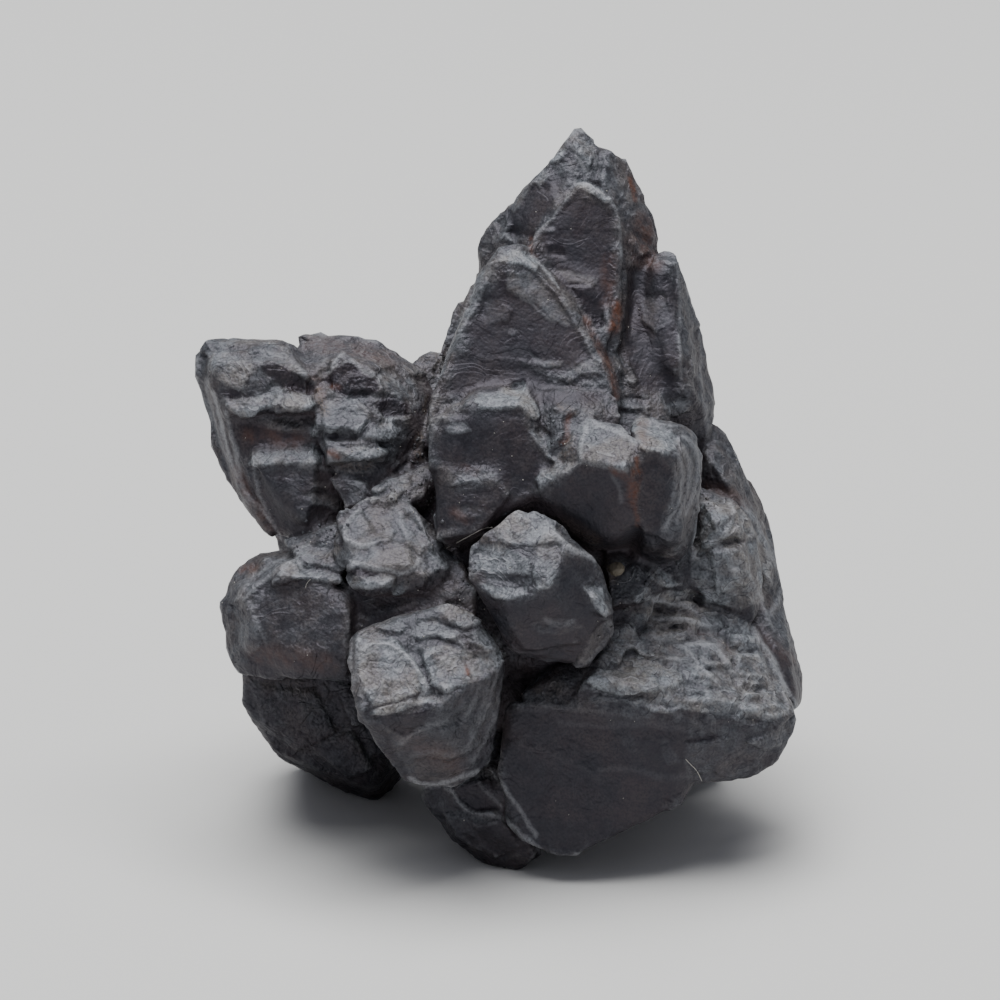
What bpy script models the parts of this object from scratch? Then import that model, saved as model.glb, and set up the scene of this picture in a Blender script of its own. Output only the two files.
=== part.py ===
# A goethite pseudomorph: a cluster of blocky, stepped crystals, 43 mm wide, grown from one heart.
#
# Corners are in millimetres from the middle of the main view: right, up, and towards the viewer.
# The main view looks down on the standing cluster, so the finished solid is leant back by LEAN.
import math
import random

import bmesh
import bpy
from mathutils import Matrix, Vector

MM = 0.001
LEAN = math.radians(20.0)  # how steeply the main view looks down
HEART = Vector((2.0, -4.0, -3.0))  # where every crystal is rooted
FLOOR = -23.0  # height of the resting surface, before the cluster is set on its origin

FLAT_ANGLE = math.radians(11.0)  # hull faces this near to one plane are one crystal face
WORN_WIDTH = 0.28  # how deep the worn bevel cuts into an edge
WORN_ANGLE = math.radians(35.0)  # only edges sharper than this are worn
WORN_LENGTH = 3.0  # only edges longer than this are worn
LEDGE_SIZE = (0.26, 0.50)  # a growth ledge is its crystal's own form at this scale
BROAD_LEDGE_SIZE = (0.40, 0.72)  # on the sides that the main view does not show
BROAD_LEDGES = ("foot_left", "foot_right", "back_high", "back_left", "back_right", "back_low", "behind_arm")
LEDGE_RISE = (0.20, 0.50)  # how far a ledge stands out of its face
LEDGE_TURN = 0.35  # a ledge sits on a face that turns at least this far from the main view
STEP_ROOT = 1.2  # how deep the root of a step is sunk below the crystal's face
STEP_FLARE = 0.45  # how far the root of a step spreads past its face
MERGE = 0.004  # corners nearer than this become one
COPLANAR = math.radians(0.6)  # triangles this near to one plane are one flat

# Each crystal: how many seeded ledges it has, and the corners of its hull.
CRYSTALS = {
    # The spire: parallel crystals that end at different heights.
    "spire_back": (3, [
        (5.2, 25.8, 0.5), (6.0, 25.7, -0.5), (3.0, 23.6, 0.5), (0.5, 21.0, 0.3), (-1.7, 18.6, 0.0),
        (-2.0, 16.0, -0.5), (-2.2, 13.5, -1.0), (7.3, 24.2, 0.6), (9.0, 18.0, 0.0), (4.9, 22.5, 2.4),
        (2.0, 14.0, 4.0), (8.0, 14.0, 4.0), (5.5, 24.0, -3.0), (0.0, 17.0, -6.0), (9.0, 17.0, -6.0),
        (0.0, 5.0, -9.0), (9.0, 5.0, -9.0), (-2.0, 3.0, -4.0),
    ]),
    "spire_back_right": (4, [
        (6.3, 25.1, -0.8), (7.7, 24.5, 0.2), (8.7, 23.8, -0.5), (9.7, 22.4, -0.5), (10.6, 20.0, 0.0),
        (11.1, 17.8, 0.0), (11.0, 7.0, 2.5), (8.0, 7.0, 3.5), (7.8, 20.0, 2.4), (7.0, 22.7, 1.8),
        (8.0, 22.0, -5.0), (10.5, 16.0, -6.0), (10.0, 5.0, -7.0), (6.0, 5.0, 0.0),
    ]),
    "spire_middle": (2, [
        (5.6, 22.4, 3.0), (7.0, 21.6, 3.4), (7.8, 20.8, 3.4), (8.3, 19.8, 3.4), (8.5, 16.0, 4.3),
        (8.5, 8.0, 5.6), (4.0, 20.0, 3.6), (2.0, 18.0, 4.0), (1.5, 14.0, 5.0), (6.5, 21.6, -1.0),
        (2.0, 16.0, -1.0), (8.4, 16.0, -1.0), (2.0, 5.0, 4.0), (8.0, 5.0, 4.0),
    ]),
    "spire_front": (2, [
        (-0.3, 17.7, 4.4), (1.7, 17.8, 4.4), (-0.2, 16.7, 5.3), (1.6, 16.7, 5.3), (3.9, 15.1, 5.6),
        (5.9, 12.0, 6.6), (8.2, 7.2, 7.6), (-2.2, 13.0, 5.9), (-4.6, 6.6, 7.2), (1.0, 17.4, 1.5),
        (-3.2, 10.9, 1.5), (6.9, 12.0, 3.0), (8.8, 6.6, 4.5), (-5.2, 4.5, 2.0), (-4.5, 0.0, 8.0),
        (7.0, 1.4, 8.0), (2.0, 0.0, 0.0),
    ]),
    "spire_left_flank": (3, [
        (-2.0, 15.5, -1.0), (-2.8, 13.7, -0.5), (-3.4, 12.0, 0.0), (-3.5, 10.3, 0.0), (-4.9, 6.5, 1.5),
        (-1.5, 14.0, -5.0), (-3.5, 9.0, -6.0), (-3.0, 3.0, -6.0), (2.0, 3.0, 0.0), (2.0, 12.0, 0.0),
    ]),
    "spire_shoulder": (4, [
        (11.0, 17.6, 0.5), (12.4, 17.3, 0.5), (10.4, 16.0, 2.5), (12.3, 16.0, 2.5), (13.0, 13.5, 2.0),
        (13.6, 14.3, 0.0), (14.3, 12.0, -0.3), (14.8, 9.5, -0.3), (15.2, 6.5, -0.3), (14.0, 6.5, 3.0),
        (13.2, 7.0, 4.5), (10.2, 7.0, 4.8), (11.0, 16.5, -4.0), (14.0, 9.0, -6.0), (13.0, 3.0, -7.0),
        (8.0, 10.0, -6.0), (9.0, 3.0, 2.0), (14.5, 3.0, 0.0),
    ]),
    "spire_foot": (0, [
        (-1.6, 7.9, 7.6), (2.0, 8.2, 7.6), (-2.2, 6.3, 9.8), (1.5, 6.2, 10.1), (3.4, 2.6, 10.2),
        (2.6, 0.8, 10.5), (0.8, -0.6, 10.5), (4.9, 3.4, 8.4), (3.4, 7.0, 7.4), (3.0, 0.0, 9.6),
        (-4.0, -3.2, 10.2), (-5.0, 0.5, 9.4), (-5.4, 5.2, 8.2), (0.0, 0.0, 0.0), (0.0, -5.0, 0.0),
        (4.0, 0.0, 6.0),
    ]),
    # The two squared blocks right of the middle, and the one below them.
    "centre_block_left": (2, [
        (5.7, 2.7, 12.8), (8.6, 2.1, 14.0), (9.6, 3.6, 12.5), (8.4, 4.9, 10.5), (5.4, 5.9, 9.5),
        (2.8, 0.7, 11.0), (1.4, 0.0, 9.5), (3.6, 4.0, 9.5), (9.8, 1.4, 13.0), (9.6, -1.6, 12.6),
        (7.2, -3.2, 11.5), (4.0, -1.6, 10.5), (6.0, 0.0, 2.0), (6.0, -4.0, 3.0), (9.5, -3.0, 6.0),
    ]),
    "centre_block_right": (3, [
        (9.0, 4.6, 10.9), (12.4, 5.0, 10.0), (11.7, 3.0, 12.8), (9.5, 3.4, 13.0), (9.4, -2.0, 12.6),
        (12.0, -2.9, 12.0), (13.8, 3.8, 8.5), (14.1, 1.0, 8.0), (13.6, -3.0, 7.0), (9.0, 6.0, 8.0),
        (13.0, 5.2, 7.5), (11.0, 0.0, 2.0), (9.0, -5.0, 3.0), (12.0, -4.5, 8.0),
    ]),
    "front_block": (2, [
        (1.4, -0.5, 11.5), (0.0, -1.4, 12.0), (-2.1, -3.2, 12.0), (-2.6, -4.6, 12.3), (-1.7, -6.0, 12.8),
        (0.4, -7.1, 14.0), (3.2, -6.3, 14.8), (4.3, -4.2, 14.0), (3.9, -2.0, 12.8), (6.9, -3.9, 11.5),
        (7.4, -7.0, 11.5), (6.8, -8.0, 12.5), (8.0, -9.6, 10.0), (5.5, -11.5, 10.0), (1.0, -10.8, 11.5),
        (0.0, -8.5, 12.5), (2.0, -4.0, 2.0), (4.0, -9.0, 2.0),
    ]),
    "hollow_knob": (0, [
        (7.0, -3.4, 7.4), (10.5, -4.4, 7.0), (11.4, -5.2, 5.6), (9.6, -7.0, 7.6), (7.2, -7.4, 8.0),
        (8.0, -3.0, 3.0), (12.0, -5.0, 2.0), (8.0, -8.0, 3.0),
    ]),
    # Smaller crystals deep between the others, seen at the bottom of the grooves.
    "groove_spire": (0, [
        (8.0, 16.6, 1.6), (10.8, 16.2, 1.0), (7.6, 9.0, 4.8), (11.0, 9.0, 4.4), (7.0, 3.0, 7.6),
        (12.0, 3.0, 6.4), (8.0, -2.0, 8.2), (12.5, -2.0, 6.4), (7.0, 14.0, -4.0), (11.0, 12.0, -4.0),
        (8.0, -3.0, 0.0),
    ]),
    "groove_left": (1, [
        (-10.5, -4.6, 8.0), (-3.6, -3.2, 8.8), (-1.6, -5.2, 10.4), (-1.4, -8.4, 11.2), (-4.6, -8.0, 10.6),
        (-8.6, -8.4, 10.2), (-10.6, -9.6, 9.4), (-9.0, -4.0, 0.0), (-3.0, -6.0, 0.0), (-9.0, -10.0, 2.0),
    ]),
    "groove_centre": (0, [
        (2.4, 7.6, 8.2), (5.0, 7.7, 8.4), (8.0, 7.3, 7.9), (8.5, 4.9, 9.4), (5.2, 5.6, 10.1),
        (3.6, 4.4, 10.4), (3.2, 2.6, 10.5), (4.0, 6.0, 3.0), (7.0, 5.0, 3.0), (5.0, 2.2, 5.0),
    ]),
    "groove_right": (0, [
        (9.0, -3.4, 7.4), (13.6, -3.0, 5.2), (14.4, -6.4, 4.6), (10.0, -7.0, 6.6), (9.0, -2.0, 0.0),
        (14.0, -3.0, 0.0), (13.0, -8.0, 0.0),
    ]),
    # The knobs and blocks on the left and below.
    "knob_left": (2, [
        (-7.0, 0.3, 7.5), (-9.4, 0.1, 8.0), (-11.3, -1.6, 8.5), (-11.3, -3.6, 9.5), (-9.0, -5.6, 11.5),
        (-5.5, -5.4, 11.5), (-3.2, -4.6, 10.0), (-5.0, -1.6, 9.0), (-6.0, -0.6, 8.5), (-9.5, -6.5, 10.0),
        (-4.5, -7.0, 10.0), (-3.0, -7.0, 9.0), (-3.0, -3.0, 0.0), (-8.0, -4.0, 0.0),
    ]),
    "left_saddle": (1, [
        (-15.4, -2.6, 5.5), (-11.0, -1.2, 6.5), (-10.5, -5.5, 9.5), (-14.0, -4.3, 8.5), (-12.0, -6.0, 9.5),
        (-10.0, -3.0, 2.0), (-13.0, -3.0, 2.0),
    ]),
    "left_block": (2, [
        (-15.9, -3.2, 4.5), (-17.2, -3.9, 4.8), (-18.4, -4.8, 5.0), (-19.0, -5.8, 5.0), (-19.3, -7.4, 5.4),
        (-19.1, -9.1, 5.4), (-18.8, -10.4, 5.6), (-17.9, -11.7, 6.2), (-17.4, -6.9, 8.5), (-14.0, -4.3, 8.6),
        (-10.2, -7.0, 10.5), (-10.2, -9.8, 10.8), (-10.5, -11.5, 10.5), (-14.0, -10.9, 10.2), (-17.2, -9.8, 8.8),
        (-14.0, -12.6, 8.5), (-10.5, -12.6, 9.0), (-8.0, -4.0, 0.0), (-8.0, -9.0, 0.0), (-12.0, -3.5, 3.0),
    ]),
    "lower_block": (3, [
        (-10.0, -8.7, 12.0), (-7.0, -7.9, 11.6), (-4.0, -6.8, 11.2), (-1.4, -7.7, 11.5), (0.4, -10.5, 12.3),
        (-0.6, -12.0, 13.2), (-2.4, -12.8, 14.0), (-4.6, -14.4, 14.8), (-9.0, -15.1, 14.8), (-10.2, -13.4, 14.2),
        (-10.4, -10.8, 13.0), (0.6, -11.6, 11.0), (0.4, -14.0, 10.0), (-0.1, -16.8, 9.0), (-1.2, -18.7, 8.5),
        (-3.0, -19.7, 8.5), (-5.6, -19.8, 9.0), (-7.0, -19.0, 10.0), (-8.6, -16.8, 12.0), (-3.0, -10.0, 2.0),
        (-4.0, -15.0, 2.0),
    ]),
    # The broad crystal at the lower right, in two, and the knobs above it.
    "right_block": (2, [
        (9.5, -6.3, 4.6), (13.3, -5.9, 3.5), (15.8, -8.0, 3.0), (18.0, -8.4, 2.5), (6.0, -12.4, 9.6),
        (9.8, -13.7, 10.4), (14.0, -14.3, 10.0), (18.9, -15.4, 8.0), (20.7, -14.6, 6.0), (20.2, -16.4, 6.0),
        (19.4, -17.8, 6.0), (17.0, -19.6, 6.3), (14.0, -20.0, 7.0), (8.0, -20.0, 8.0), (1.0, -13.4, 8.0),
        (8.0, -8.0, -4.0), (16.0, -12.0, -4.0), (17.0, -17.0, -3.0), (10.0, -18.0, -3.0),
    ]),
    "right_block_foot": (2, [
        (13.0, -20.6, 6.8), (10.8, -21.9, 7.3), (8.8, -22.1, 7.6), (6.8, -23.9, 7.0), (4.8, -24.6, 6.5),
        (2.6, -24.4, 6.3), (0.6, -22.6, 6.5), (-0.2, -19.0, 7.0), (0.2, -14.0, 8.0), (6.3, -13.4, 9.8),
        (9.8, -14.9, 9.9), (13.0, -17.0, 8.8), (14.0, -19.0, 3.0), (5.0, -22.0, -3.0), (2.0, -14.0, -3.0),
        (12.0, -15.0, -3.0),
    ]),
    "right_side": (2, [
        (17.4, -5.6, 1.0), (19.5, -5.8, -1.4), (19.9, -7.6, -1.0), (21.0, -10.5, -1.0), (21.5, -13.2, -0.5),
        (20.7, -14.5, 5.0), (19.2, -10.8, 4.0), (20.8, -15.0, -1.0), (19.5, -9.0, -5.0), (20.3, -13.0, -5.0),
        (17.0, -16.0, -5.0), (10.0, -8.0, -3.0),
    ]),
    "right_knob": (3, [
        (14.3, 0.3, 4.0), (16.3, 0.2, 3.0), (17.8, -2.0, 3.0), (18.4, -5.0, 2.5), (18.5, -6.5, 2.5),
        (17.4, -8.2, 3.6), (14.5, -7.6, 4.8), (13.5, -5.0, 5.5), (15.0, -2.0, 5.6), (17.2, -5.0, 4.8),
        (13.3, 1.4, 3.0), (10.0, -4.0, -2.0), (14.0, -2.0, -4.0),
    ]),
    "right_back": (3, [
        (15.1, 5.6, -1.0), (16.7, 3.9, -1.0), (17.7, 1.5, -1.5), (18.4, 0.0, -1.5), (19.4, -2.8, -2.0),
        (19.9, -4.8, -2.0), (20.2, -7.0, -2.0), (19.8, -8.4, -1.5), (14.5, 3.0, 2.0), (16.3, 0.6, 2.2),
        (18.3, -5.0, 1.6), (14.0, 4.0, -7.0), (18.0, -3.0, -8.0), (8.0, 0.0, -4.0),
    ]),
    # The arm that reaches out to the left.
    "left_arm": (4, [
        (-21.5, 9.3, 2.0), (-20.6, 11.2, 2.0), (-19.8, 11.5, 1.5), (-14.8, 11.3, 2.2), (-21.1, 6.5, 2.0),
        (-19.9, 3.0, 2.5), (-18.5, 0.6, 3.0), (-16.1, -2.6, 4.0), (-12.8, 9.0, 4.8), (-19.4, 9.4, 4.2),
        (-18.5, 4.4, 5.0), (-12.8, 4.0, 6.0), (-12.5, 1.0, 6.4), (-13.0, -2.5, 6.4), (-20.0, 9.5, -3.0),
        (-14.0, 10.5, -4.0), (-18.0, 3.0, -3.0), (-6.0, 3.0, -3.0), (-6.0, -3.0, 2.0),
    ]),
    "left_arm_inner": (3, [
        (-14.3, 11.8, 0.5), (-11.0, 11.8, 0.5), (-8.4, 11.1, 0.5), (-6.2, 9.7, 0.5), (-4.9, 8.4, 0.8),
        (-13.4, 9.0, 4.2), (-10.9, 10.2, 3.6), (-8.4, 8.4, 4.8), (-6.0, 6.5, 4.8), (-12.6, 3.5, 6.6),
        (-9.0, 3.2, 6.8), (-9.0, -2.0, 6.8), (-13.0, 10.5, -4.0), (-7.0, 8.5, -4.0), (-2.0, 0.0, -2.0),
        (-5.0, 1.0, 4.0),
    ]),
    "arm_root": (0, [
        (-8.0, 1.2, 7.2), (-5.0, 2.4, 6.4), (-4.8, 0.6, 7.4), (-7.0, -0.6, 8.0), (-9.0, 0.4, 7.4),
        (-4.0, 3.0, 2.0), (-8.0, 0.0, 2.0), (-3.0, -2.0, 3.0),
    ]),
    "behind_arm": (3, [
        (-6.5, 10.0, -9.0), (-5.0, 10.6, -9.0), (-3.0, 10.4, -9.0), (-7.0, 8.0, -8.0), (-6.0, 9.0, -13.0),
        (-3.0, 9.5, -13.0), (-7.0, 2.0, -12.0), (-1.0, 2.0, -13.0), (-1.0, 8.0, -8.0), (0.0, -2.0, -4.0),
    ]),
    # The three crystals it stands on.
    "foot_front": (3, [
        (-4.2, -19.2, 4.0), (-5.6, -20.2, 3.0), (-4.2, -21.8, 3.0), (-3.4, -23.6, 3.0), (-2.4, -24.5, 3.0),
        (0.0, -26.1, 3.0), (1.4, -25.8, 3.2), (2.8, -24.7, 4.5), (1.0, -19.0, 5.6), (-1.0, -22.0, 5.0),
        (1.5, -26.0, -1.0), (-3.5, -23.5, -3.0), (0.0, -15.0, 0.0), (2.0, -20.0, -6.0),
    ]),
    "foot_left": (5, [
        (-18.0, -10.5, 1.0), (-18.2, -14.2, 0.0), (-16.5, -17.5, -3.0), (-14.0, -19.0, -13.0),
        (-10.0, -18.0, -17.0), (-8.5, -22.0, -12.0), (-9.0, -20.5, -4.0), (-17.5, -12.0, -12.0),
        (-11.0, -11.0, -17.0), (-4.0, -6.0, 2.0), (-4.0, -15.0, -8.0),
    ]),
    "foot_right": (5, [
        (16.5, -14.0, -8.0), (17.0, -17.5, -10.0), (14.5, -18.5, -17.0), (10.0, -18.0, -19.0),
        (8.0, -21.5, -13.0), (12.0, -20.5, -6.0), (15.0, -11.0, -14.0), (8.0, -10.0, -17.0),
        (6.0, -8.0, -2.0), (4.0, -16.0, -8.0),
    ]),
    # The side away from the viewer.
    "back_high": (5, [
        (2.0, 9.0, -15.0), (6.0, 9.5, -14.5), (8.0, 6.0, -16.0), (5.0, 3.0, -18.5), (0.0, 4.0, -17.5),
        (-1.0, 7.0, -15.5), (3.0, 12.0, -8.0), (9.0, 3.0, -9.0), (-2.0, 2.0, -9.0), (4.0, -3.0, -8.0),
    ]),
    "back_left": (5, [
        (-15.0, 1.0, -8.0), (-16.5, -2.0, -9.0), (-15.0, -6.0, -11.0), (-11.0, -6.5, -14.0),
        (-9.5, -2.0, -14.0), (-12.0, 2.0, -10.0), (-11.0, 1.0, -5.0), (-13.0, -7.0, -5.0),
        (-2.0, 0.0, -3.0), (-2.0, -7.0, -5.0),
    ]),
    "back_right": (5, [
        (16.0, 0.0, -12.0), (18.0, -4.0, -12.0), (17.0, -8.0, -13.0), (13.0, -8.5, -17.0),
        (10.0, -4.0, -18.5), (12.0, 0.5, -15.0), (12.0, 2.0, -7.0), (15.0, -9.0, -6.0), (5.0, 0.0, -4.0),
        (5.0, -8.0, -5.0),
    ]),
    "back_low": (6, [
        (-2.0, -6.0, -18.5), (3.0, -5.0, -20.0), (6.0, -8.0, -19.0), (4.0, -12.0, -18.0),
        (-1.0, -12.5, -17.0), (-4.0, -9.0, -16.5), (1.0, -2.0, -10.0), (8.0, -8.0, -9.0),
        (0.0, -15.0, -9.0), (-6.0, -8.0, -8.0),
    ]),
    "heart": (0, [
        (-7.0, -1.0, 5.5), (-6.0, -10.0, 7.5), (11.0, -3.0, 6.5), (10.0, -12.0, 6.5), (3.0, 4.0, 7.0),
        (-8.0, -10.0, -8.0), (-5.0, 3.0, -8.0), (12.0, 2.0, -8.0), (12.0, -12.0, -8.0),
        (2.0, -5.0, -13.0), (0.0, -16.0, 2.0), (4.0, -18.0, -6.0),
    ]),
}

# Growth steps on the faces that the main view shows: the crystal, how far the step stands out of the
# face under its middle, how much it is turned up from that face, and its outline, right and up.
STEPS = [
    ("spire_back", 0.35, 0.0, [(1.6, 21.4), (3.4, 23.2), (4.2, 20.4), (2.6, 18.6), (0.4, 18.8)]),
    ("spire_middle", 0.45, 0.1, [(3.9, 16.4), (6.9, 15.4), (7.8, 12.0), (6.4, 8.0), (4.6, 12.6)]),
    ("spire_front", 0.20, 0.1, [(-3.4, 11.4), (1.9, 14.2), (4.4, 12.0), (5.3, 9.6), (-4.2, 8.6)]),
    ("spire_front", 0.40, 0.1, [(-4.4, 9.0), (2.0, 10.2), (4.9, 9.3), (7.0, 9.6), (7.8, 7.4), (-4.9, 5.0)]),
    ("spire_foot", 0.45, 0.1, [(-4.6, 5.6), (-2.6, 5.6), (-2.6, 2.0), (-4.9, 2.0)]),
    ("spire_foot", 0.50, 0.1, [(-4.2, 2.2), (0.2, 2.0), (0.6, 0.2), (-1.5, -2.2), (-4.3, -2.6)]),
    ("spire_shoulder", 0.28, 0.1, [(11.2, 15.8), (11.8, 15.4), (12.7, 10.0), (12.2, 8.6), (11.3, 9.4)]),
    ("left_arm", 0.50, 0.1, [(-20.4, 10.2), (-15.0, 10.6), (-13.4, 8.6), (-12.9, 6.4), (-19.0, 5.8), (-20.3, 8.0)]),
    ("left_arm", 0.95, 0.2, [(-15.5, 7.7), (-12.9, 7.2), (-12.9, 6.1), (-15.3, 5.9)]),
    ("left_arm", 0.55, 0.1, [(-17.3, 3.4), (-12.8, 3.6), (-12.6, 0.4), (-13.4, -1.6), (-15.2, -0.4)]),
    ("left_arm_inner", 0.40, 0.1, [(-11.7, 9.6), (-10.9, 10.2), (-8.5, 8.6), (-8.2, 7.4), (-11.6, 7.4)]),
    ("left_arm_inner", 0.60, 0.2, [(-12.8, 7.5), (-10.4, 7.1), (-8.7, 5.8), (-9.8, 4.6), (-12.6, 4.8)]),
    ("left_arm_inner", 0.45, 0.2, [(-9.6, 5.9), (-7.3, 5.7), (-7.0, 4.3), (-9.6, 4.1)]),
    ("left_arm_inner", 0.60, 0.2, [(-12.0, 4.1), (-8.6, 3.9), (-8.2, 2.8), (-11.8, 2.5)]),
    ("left_arm_inner", 0.50, 0.1, [(-12.0, 1.6), (-9.2, 1.2), (-8.8, -0.6), (-12.0, -0.8)]),
    ("knob_left", 0.55, 0.2, [(-11.2, -1.2), (-9.3, -0.9), (-8.8, -2.2), (-10.4, -3.2)]),
    ("knob_left", 0.50, 0.2, [(-10.5, -3.3), (-8.6, -2.8), (-6.2, -3.2), (-6.0, -4.7), (-9.6, -4.7)]),
    ("knob_left", 0.45, 0.3, [(-11.0, -5.1), (-7.4, -5.3), (-7.2, -6.2), (-10.6, -6.3)]),
    ("front_block", 0.30, 0.2, [(5.9, -5.5), (6.9, -6.0), (7.3, -7.8), (6.2, -7.4)]),
    ("front_block", 0.35, 0.2, [(0.8, -8.6), (4.6, -8.4), (5.4, -9.6), (1.6, -10.2)]),
    ("lower_block", 0.35, 0.0, [(-9.8, -9.4), (-7.0, -9.6), (-5.4, -11.8), (-5.8, -13.8), (-9.4, -14.4)]),
    ("lower_block", 0.30, 0.1, [(-4.6, -15.6), (-2.0, -14.8), (-1.4, -16.6), (-3.6, -18.0)]),
    ("left_block", 0.40, 0.2, [(-15.4, -4.4), (-13.8, -4.2), (-13.2, -5.4), (-15.6, -5.9)]),
    ("foot_left", 0.45, 0.1, [(-17.4, -12.8), (-13.0, -13.4), (-11.6, -16.2), (-14.4, -17.6), (-16.6, -15.8)]),
    ("foot_left", 0.50, 0.1, [(-13.4, -17.0), (-10.4, -16.2), (-9.0, -18.8), (-10.8, -19.6)]),
    ("foot_left", 0.35, 0.1, [(-11.6, -13.0), (-8.0, -12.6), (-7.8, -15.6), (-10.4, -15.8)]),
    ("foot_front", 0.40, 0.1, [(-4.0, -21.9), (-0.2, -22.0), (1.6, -24.0), (-0.4, -24.8), (-3.0, -23.2)]),
    ("right_block", 0.25, 0.0, [(10.0, -16.4), (15.6, -16.2), (15.0, -18.6), (11.0, -19.0)]),
    ("right_knob", 0.40, 0.1, [(14.2, -0.2), (16.0, -0.4), (16.6, -2.4), (14.4, -2.8)]),
    ("right_knob", 0.40, 0.1, [(14.6, -3.6), (17.0, -3.2), (17.4, -5.4), (15.0, -6.4)]),
]

# The net of small treads on top of the broad crystal: rows from its back down to its front edge.
TREAD_CRYSTAL = "right_block"
TREAD_BACK = (12.8, -7.0)  # middle of the back row, right and up
TREAD_FRONT = (12.4, -13.0)  # middle of the front row
TREAD_ROWS = 6
TREAD_COLUMNS = 5
TREAD_RISE = (0.16, 0.44)  # how far a tread stands out of the slope
TREAD_TURN = 0.22  # how much a tread is turned up from the slope
TREAD_SPREAD = (7.4, 14.0)  # length of the back and front rows

# A grain of sand is lodged in the hollow right of the front block.
GRAIN_CENTRE = Vector((7.97, -4.72, 8.2))
GRAIN_RADIUS = 0.62
GRAIN_STRETCH = (1.0, 0.88, 0.92)
GRAIN_ROUGH = 0.09


def face_planes(corners):
    """The planes of the convex hull round these corners, near-flat neighbours taken as one."""
    shape = bmesh.new()
    for corner in corners:
        shape.verts.new(corner)
    bmesh.ops.convex_hull(shape, input=shape.verts)
    spare = [vert for vert in shape.verts if not vert.link_faces]
    bmesh.ops.delete(shape, geom=spare, context="VERTS")
    bmesh.ops.dissolve_limit(shape, angle_limit=FLAT_ANGLE, verts=shape.verts, edges=shape.edges)
    bmesh.ops.recalc_face_normals(shape, faces=shape.faces)
    planes = [(face.calc_center_median_weighted(), face.normal.copy()) for face in shape.faces]
    shape.free()
    return planes


def clip(shape, point, normal):
    """Cuts away what lies beyond a plane and closes the cut with one flat face."""
    whole = shape.verts[:] + shape.edges[:] + shape.faces[:]
    bmesh.ops.bisect_plane(shape, geom=whole, plane_co=point, plane_no=normal, dist=0.001, clear_outer=True)
    rim = [edge for edge in shape.edges if edge.is_boundary]
    if rim:
        bmesh.ops.contextual_create(shape, geom=rim)


def cut_block(planes):
    """The convex solid inside all of these planes."""
    shape = bmesh.new()
    bmesh.ops.create_cube(shape, size=120.0)
    for point, normal in planes:
        clip(shape, point, normal)
    return shape


def worn_planes(shape):
    """One plane across each long sharp edge, where handling and weather have worn it."""
    planes = []
    for edge in shape.edges:
        if len(edge.link_faces) != 2 or edge.calc_length() < WORN_LENGTH:
            continue
        first, second = edge.link_faces
        if first.normal.angle(second.normal) > WORN_ANGLE:
            outward = (first.normal + second.normal).normalized()
            middle = (edge.verts[0].co + edge.verts[1].co) / 2
            planes.append((middle - outward * WORN_WIDTH, outward))
    return planes


def is_ledge_face(face):
    """Seeded ledges go where a face looks away from the heart and from the main view."""
    outward = face.normal.dot(face.calc_center_median() - HEART) > 0
    return outward and face.normal.z < LEDGE_TURN


def trim(shape, planes, facing, rise):
    """Keeps what stands on one face of a crystal from reaching past its other faces."""
    for point, normal in planes:
        if normal.dot(facing) < 0.999:
            clip(shape, point + normal * rise * 0.8, normal)


def ledge(crystal, planes, size, rng):
    """A growth ledge: the crystal's own form again, small, standing out of one of its faces."""
    centre = sum((vert.co for vert in crystal.verts), Vector()) / len(crystal.verts)
    faces = [face for face in crystal.faces if is_ledge_face(face)]
    face = rng.choices(faces, [face.calc_area() for face in faces])[0]
    face_centre = face.calc_center_median()
    place = face_centre.lerp(rng.choice(face.verts[:]).co, rng.uniform(0.1, 0.6))
    scale = rng.uniform(*size)
    rise = rng.uniform(*LEDGE_RISE)
    shift = place + face.normal * rise - (face_centre - centre) * scale
    small = crystal.copy()
    for vert in small.verts:
        vert.co = shift + (vert.co - centre) * scale
    trim(small, planes, face.normal, rise)
    return small


def front_face(planes, right, up):
    """The face of a convex crystal that the main view sees at this place."""
    facing = [(point, normal) for point, normal in planes if normal.z > 0.02]

    def depth(plane):
        point, normal = plane
        return point.z - (normal.x * (right - point.x) + normal.y * (up - point.y)) / normal.z

    return min(facing, key=depth)


def step(planes, rise, turn, outline):
    """A flat growth step parallel to the face under it, with flared sides down to its root."""
    middle_right = sum(right for right, up in outline) / len(outline)
    middle_up = sum(up for right, up in outline) / len(outline)
    point, normal = front_face(planes, middle_right, middle_up)
    shape = bmesh.new()
    for flare, lift in ((0.0, rise), (STEP_FLARE, -STEP_ROOT)):
        for right, up in outline:
            spread = 1.0 + flare / math.hypot(right - middle_right, up - middle_up)
            wide = middle_right + (right - middle_right) * spread
            high = middle_up + (up - middle_up) * spread
            towards = point.z - (normal.x * (wide - point.x) + normal.y * (high - point.y)) / normal.z
            turned_up = -turn * (high - middle_up)
            shape.verts.new(Vector((wide, high, towards + turned_up)) + normal * lift)
    bmesh.ops.convex_hull(shape, input=shape.verts)
    trim(shape, planes, normal, rise)
    return shape


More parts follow.
